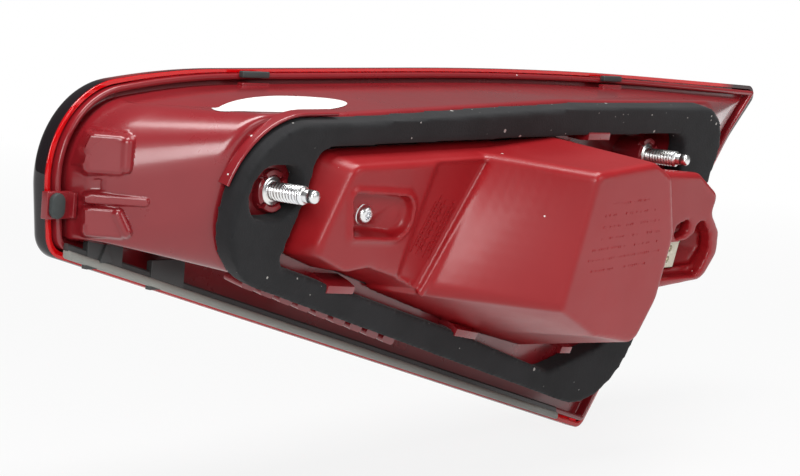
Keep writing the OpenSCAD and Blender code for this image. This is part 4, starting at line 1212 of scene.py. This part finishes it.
# %% Buffers
def end_buffer_piece():
    bm = bmesh.new()
    x, z0, z1, r = X_END + 4.0, -9.1, -6.6, 2.7
    rings = []
    for q, y in ((r - 0.3, 38.0), (r, 37.4), (r, 36.4), (r - 0.25, 36.0), (r - 0.8, 35.8)):
        rings.append([Vector((x + q * math.cos(a), y, (z1 if math.sin(a) > 0 else z0) + q * math.sin(a)))
                      for a in (2 * math.pi * (k + 0.5) / 48 for k in range(48))])
    add_loft(bm, rings)
    return finish_mesh("buffer_end", bm)


def top_buffer_piece(name, node_name):
    low, high = (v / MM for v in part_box(node_name))
    bm = bmesh.new()
    add_box(bm, tuple(low), tuple(high), bevel=0.55)
    return finish_mesh(name, bm, math.radians(30))


dressed(end_buffer_piece(), BUFFER_RUBBER, "buffer_rubber", "end_buffer")
dressed(top_buffer_piece("buffer_top_outer", "top_buffer_outer"), BUFFER_RUBBER, "buffer_rubber",
        "top_buffer_outer")
dressed(top_buffer_piece("buffer_top_inner", "top_buffer_inner"), BUFFER_RUBBER, "buffer_rubber",
        "top_buffer_inner")

# %% [markdown]
# ## Blank label
# A white oval film lies on the housing's top face. Its printed lines are left off. The film must
# follow the moulding, so each point of an ellipse is dropped on the skin and lifted a little, by
# 0.15 mm.

# %% Label
def label_piece():
    bm = bmesh.new()
    centre = bm.verts.new((0, 0, 0))
    rings = [[bm.verts.new((13.5 + 30 * s * math.cos(a), 11 + 9.8 * s * math.sin(a), 0))
              for a in (2 * math.pi * k / 64 for k in range(64))] for s in (j / 10 for j in range(1, 11))]
    centre.co = (13.5, 11, 0)
    for j in range(64):
        bm.faces.new((centre, rings[0][j], rings[0][(j + 1) % 64]))
    for r0, r1 in zip(rings, rings[1:]):
        for j in range(64):
            bm.faces.new((r0[j], r1[j], r1[(j + 1) % 64], r0[(j + 1) % 64]))
    for v in bm.verts:
        start = Vector((v.co.x, v.co.y, 60)) * MM
        found, where, normal, _ = housing.ray_cast(start, Vector((0, 0, -1)))
        v.co = where + normal * 0.00015
    return finish_mesh("label_oval", bm)


dressed(label_piece(), LABEL_WHITE, "label_white", "oval_label")

# %% [markdown]
# ## Trim along the lower edge
# The trim is a black moulding with a rounded lip and a recessed web behind it. The lip is
# coloured pale grey as a painted highlight, for the light that falls on it. A section swept along the
# lamp's lower edge gives each. Two clips stand on it, one with a three cornered gusset.

# %% Trim
TRIM_START, TRIM_END = -48.8, 221.3
TRIM_WEB = [(2.6, 2.9), (2.6, 4.4), (2.1, 5.2), (0.9, 5.2), (0.4, 4.7), (0.3, 2.9)]
TRIM_LIP = [(2.6, 0.9), (2.6, 3.1), (-0.2, 3.1), (-0.6, 2.7), (-0.7, 1.2), (-0.3, 0.5), (0.8, 0.3), (1.8, 0.45)]


def along_foot(bm, section):
    path = [Vector((x, 37.25, foot_edge(x))) for x in
            (TRIM_START + (TRIM_END - TRIM_START) * k / 80 for k in range(81))]
    add_loft(bm, [[p + Vector((0, a, b)) for a, b in section] for p in path])


def trim_piece():
    bm = bmesh.new()
    along_foot(bm, TRIM_WEB)
    for k, x in enumerate((X_END + 18.0, X_END + 46.0)):
        foot = foot_edge(x + 15) + 3.3
        add_box(bm, (x, 37.25, foot), (x + 15, 38.85, foot + 9.6), bevel=0.25)
        add_box(bm, (x + 0.1, 38.4, foot), (x + 1.3, 39.8, foot + 9.2), bevel=0.2)
        gusset = [(4.5, 0.0), (10.0, 0.0), (7.2, 6.2)]
        if k == 0:
            add_prism(bm, gusset, lambda a, b, t, x=x, f=foot: Vector((x + a, 37.25 + t, f + 2.0 + b)), -0.9, 0.3)
    return finish_mesh("trim_lower", bm, math.radians(32))


def trim_lip_piece():
    bm = bmesh.new()
    along_foot(bm, TRIM_LIP)
    return finish_mesh("trim_lip", bm, math.radians(60))


dressed(trim_piece(), TRIM_BLACK, "trim_black", "lower_trim")
# The lip is coloured with the pale grey painted highlight, not the trim's own black.
dressed(trim_lip_piece(), TRIM_PAINTED_HIGHLIGHT, "trim_black")

# %% [markdown]
# ## The clear red lens
# The lens is a thick red bowl. Seen from behind, its welded rim glows, because light runs through
# the plastic; this glow is painted into its colour as a brighter, less clear red on the rim's lip. The
# outer end carries a black masking band that fades out along the top. The shape is the CAD loft
# with many more steps, and the finish is coloured glass with smooth gloss.

# %% Lens material
def lens_material(name, colour, rough=0.03, mask=False):
    material, tree, shader = new_material(name)
    where = node(tree, "ShaderNodeTexCoord").outputs["Object"]
    shader.inputs["Roughness"].default_value = rough
    shader.inputs["IOR"].default_value = 1.49
    shader.inputs["Transmission Weight"].default_value = 0.96
    depth = ramp(tree, noise_value(tree, where, 20.0, 2.0), 0.2, 0.8)
    tint = mix_colour(tree, depth, colour + (1,), tuple(c * 0.9 for c in colour) + (1,))
    if mask:
        split = node(tree, "ShaderNodeSeparateXYZ")
        tree.links.new(where, split.inputs[0])
        # Painted glow: the rim's lip gets a brighter red and less transmission, standing for light that runs through
        # the plastic.
        lip = ramp(tree, split.outputs["Y"], 0.0424, 0.0421)
        tint = mix_colour(tree, lip, tint, (0.78, 0.003, 0.006, 1))
        tip = ramp(tree, split.outputs["X"], 0.333, 0.345)
        tint = mix_colour(tree, tip, tint, (0.03, 0.002, 0.004, 1))
        lip = math_node(tree, "MAXIMUM", lip, tip)
        end = ramp(tree, split.outputs["X"], -0.012, -0.034)
        side = math_node(tree, "MULTIPLY", ramp(tree, split.outputs["Y"], 0.0422, 0.0425),
                         ramp(tree, split.outputs["Y"], 0.0530, 0.0520))
        band = math_node(tree, "MULTIPLY", end, side)
        tint = mix_colour(tree, band, tint, (0.012, 0.008, 0.010, 1))
        dull = math_node(tree, "MAXIMUM", math_node(tree, "MULTIPLY", band, 0.95), math_node(tree, "MULTIPLY", lip, 0.8))
        clear = math_node(tree, "SUBTRACT", 0.96, dull, clamp=True)
        tree.links.new(clear, shader.inputs["Transmission Weight"])
    tree.links.new(tint, shader.inputs["Base Color"])
    return material


LENS_RED = lens_material("lens red", (0.85, 0.02, 0.03), mask=True)
CLEAR = lens_material("clear optic", (0.95, 0.95, 0.96), 0.05)
PINK_CLEAR = lens_material("light guide", (0.95, 0.8, 0.8), 0.12)
AMBER = lens_material("amber optic", (0.95, 0.45, 0.05), 0.08)

# %% Lens
LENS_STEPS = 20


def dome(corners, t, wall):
    bow = with_knee(inset(corners, 21.0 * (1 - math.cos(t * math.pi / 2))), 0.795)
    rise = math.sin(t * math.pi / 2)
    return [Vector((p.x, 46.0 + (30.0 - wall) * rise - 22.0 * rise * (X_END + LAMP_LEN - p.x) / LAMP_LEN, p.y))
            for p in dense(bow)]


def lens_piece():
    rim = rim_corners()
    rings = [dome(inset(rim, 2.6), k / LENS_STEPS, 2.6) for k in range(LENS_STEPS, 0, -1)]
    rings += [ring_level(flange(5.4), 47.0), ring_level(flange(2.4), 47.0)]
    rings += [ring_level(flange(2.4), 42.3), ring_level(flange(2.1), 42.0),
              ring_level(flange(0.3), 42.0), ring_level(flange(0.0), 42.3)]
    rings += [dome(rim, k / LENS_STEPS, 0.0) for k in range(LENS_STEPS + 1)]
    return loft("lens_bowl", rings, sharp=math.radians(50))


dressed(lens_piece(), LENS_RED, "lens_red", "outer_lens")

# %% [markdown]
# ## What the lens shows
# Behind the lens sit a metallised tray, circuit boards with their lights, clear optics and a
# reflector of small prisms. Their CAD shapes are right as they are, so they only get materials.

# %% Inner materials
def board_material():
    material, tree, shader = new_material("board green")
    where = node(tree, "ShaderNodeTexCoord").outputs["Object"]
    tracks = node(tree, "ShaderNodeTexBrick", Scale=260.0, Mortar_Size=0.03)
    tree.links.new(where, tracks.inputs["Vector"])
    for label, value in (("Color1", (0.02, 0.13, 0.055, 1)), ("Color2", (0.026, 0.16, 0.065, 1)),
                         ("Mortar", (0.04, 0.22, 0.1, 1))):
        tracks.inputs[label].default_value = value
    tree.links.new(tracks.outputs["Color"], shader.inputs["Base Color"])
    shader.inputs["Roughness"].default_value = 0.35
    return material


def prism_material():
    material, tree, shader = new_material("prism red")
    where = node(tree, "ShaderNodeTexCoord").outputs["Object"]
    cells = node(tree, "ShaderNodeTexVoronoi", feature="F1", Scale=420.0, Randomness=0.0)
    tree.links.new(where, cells.inputs["Vector"])
    bump = node(tree, "ShaderNodeBump", Strength=0.9, Distance=0.0012)
    tree.links.new(cells.outputs["Distance"], bump.inputs["Height"])
    tree.links.new(bump.outputs["Normal"], shader.inputs["Normal"])
    # Painted shade: each prism cell is darker red towards its edges, standing for the shading of its facets.
    shade = mix_colour(tree, cells.outputs["Distance"], (0.75, 0.02, 0.03, 1), (0.45, 0.01, 0.015, 1))
    tree.links.new(shade, shader.inputs["Base Color"])
    shader.inputs["Roughness"].default_value = 0.12
    shader.inputs["Coat Weight"].default_value = 0.6
    return material


BOARD = board_material()
PRISM = prism_material()
TRAY = metal("metallised tray", (0.78, 0.78, 0.8), (0.72, 0.72, 0.74), 0.18)
WIRE_GREEN = plastic("wire green", (0.05, 0.30, 0.11), (0.035, 0.24, 0.085), 0.42, dust=0.0)
LED_RED = plastic("led red", (0.75, 0.1, 0.07), (0.65, 0.07, 0.05), 0.3, dust=0.0)
FINISHES = {
    "cover_seal": SEAL_RUBBER, "reflector_tray": TRAY, "light_guide": PINK_CLEAR, "inner_bezel": BEZEL_GREY,
    "tail_board": BOARD, "stop_board": BOARD, "indicator_board": BOARD, "reverse_board": BOARD,
    "tail_leds": LED_RED, "stop_leds": LED_RED, "indicator_leds": LED_CREAM, "reverse_leds": LED_CREAM,
    "stop_optic": LENS_RED, "indicator_optic": AMBER, "reverse_optic": CLEAR, "reflex_reflector": PRISM,
    "driver_board": BOARD, "driver_parts": PARTS_DARK, "plug_socket": SOCKET_CREAM, "plug_pins": TIN,
    "supply_wire": WIRE_GREEN}
for name, finish in FINISHES.items():
    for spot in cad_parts[name].material_slots:
        spot.material = finish
print("finished", len(FINISHES), "CAD nodes")

# %% [markdown]
# ## Floor, light and camera
# The studio is plain. The floor and the world look white to the camera and to reflections, and the
# lamps light the lamp softly from above and from the left, as in the photograph. The camera stands
# where a solution from the two studs and the lamp's outline puts it.

# %% Studio
def white_to_camera(tree, surface, output, share, strength=1.0):
    """Shows plain white to the camera and to mirror and glass rays, and the surface to the rest."""
    path = node(tree, "ShaderNodeLightPath")
    seen = math_node(tree, "MAXIMUM", path.outputs["Is Camera Ray"], path.outputs["Is Glossy Ray"])
    seen = math_node(tree, "MAXIMUM", seen, path.outputs["Is Transmission Ray"])
    glow = node(tree, "ShaderNodeEmission", Strength=strength)
    mix = node(tree, "ShaderNodeMixShader")
    tree.links.new(math_node(tree, "MULTIPLY", seen, share), mix.inputs[0])
    tree.links.new(surface, mix.inputs[1])
    tree.links.new(glow.outputs[0], mix.inputs[2])
    tree.links.new(mix.outputs[0], output)


def add_floor():
    bm = bmesh.new()
    low = cad_box[0][2] - 0.0005
    corners = [bm.verts.new((x, y, low)) for x, y in ((-6, -6), (6, -6), (6, 6), (-6, 6))]
    bm.faces.new(corners)
    floor = finish_mesh("floor", bm)
    material, tree, shader = new_material("floor white")
    shader.inputs["Base Color"].default_value = (0.6, 0.6, 0.6, 1)
    shader.inputs["Roughness"].default_value = 0.9
    where = node(tree, "ShaderNodeTexCoord").outputs["Object"]
    away = node(tree, "ShaderNodeVectorMath", operation="LENGTH")
    tree.links.new(where, away.inputs[0])
    share = math_node(tree, "MULTIPLY_ADD", ramp(tree, away.outputs["Value"], 0.4, 1.6), 0.13)
    tree.nodes[-1].inputs[2].default_value = 0.87
    white_to_camera(tree, shader.outputs[0], tree.nodes["Material Output"].inputs["Surface"], share)
    floor.data.materials.append(material)


def add_world():
    world = bpy.data.worlds.new("studio")
    bpy.context.scene.world = world
    world.use_nodes = True
    tree = world.node_tree
    back = tree.nodes["Background"]
    back.inputs["Color"].default_value = (1, 1, 1, 1)
    back.inputs["Strength"].default_value = 0.16
    bright = node(tree, "ShaderNodeBackground", Strength=1.0)
    bright.inputs["Color"].default_value = (1, 1, 1, 1)
    path = node(tree, "ShaderNodeLightPath")
    seen = math_node(tree, "MAXIMUM", path.outputs["Is Camera Ray"], path.outputs["Is Transmission Ray"])
    mix = node(tree, "ShaderNodeMixShader")
    tree.links.new(seen, mix.inputs[0])
    tree.links.new(back.outputs[0], mix.inputs[1])
    tree.links.new(bright.outputs[0], mix.inputs[2])
    tree.links.new(mix.outputs[0], tree.nodes["World Output"].inputs["Surface"])


def add_area(name, place, target, size, power):
    light = bpy.data.lights.new(name, "AREA")
    light.shape, light.size, light.size_y, light.energy = "RECTANGLE", size[0], size[1], power
    lamp = bpy.data.objects.new(name, light)
    lamp.location = place
    lamp.rotation_euler = (Vector(target) - Vector(place)).to_track_quat("-Z", "Y").to_euler()
    bpy.context.scene.collection.objects.link(lamp)


def add_camera():
    data = bpy.data.cameras.new("camera")
    data.lens, data.sensor_width, data.sensor_fit = 99.0, 36.0, "HORIZONTAL"
    data.clip_start, data.clip_end = 0.01, 50
    camera = bpy.data.objects.new("camera", data)
    camera.location = (-0.50547, -0.45582, 0.06026)
    camera.rotation_euler = [math.radians(a) for a in (83.9438, -4.3935, -50.9079)]
    bpy.context.scene.collection.objects.link(camera)
    bpy.context.scene.camera = camera


add_floor()
add_world()
add_area("top softbox", (0.10, -0.15, 1.1), (0.12, 0.0, 0.0), (1.1, 0.5), 17)
add_area("left softbox", (-1.1, -0.85, 0.5), (0.05, 0.0, 0.0), (0.7, 0.6), 12)
add_area("front fill", (0.6, -1.3, 0.45), (0.12, 0.0, 0.0), (0.6, 0.4), 3)
add_camera()
bpy.context.scene.view_settings.view_transform = "Standard"
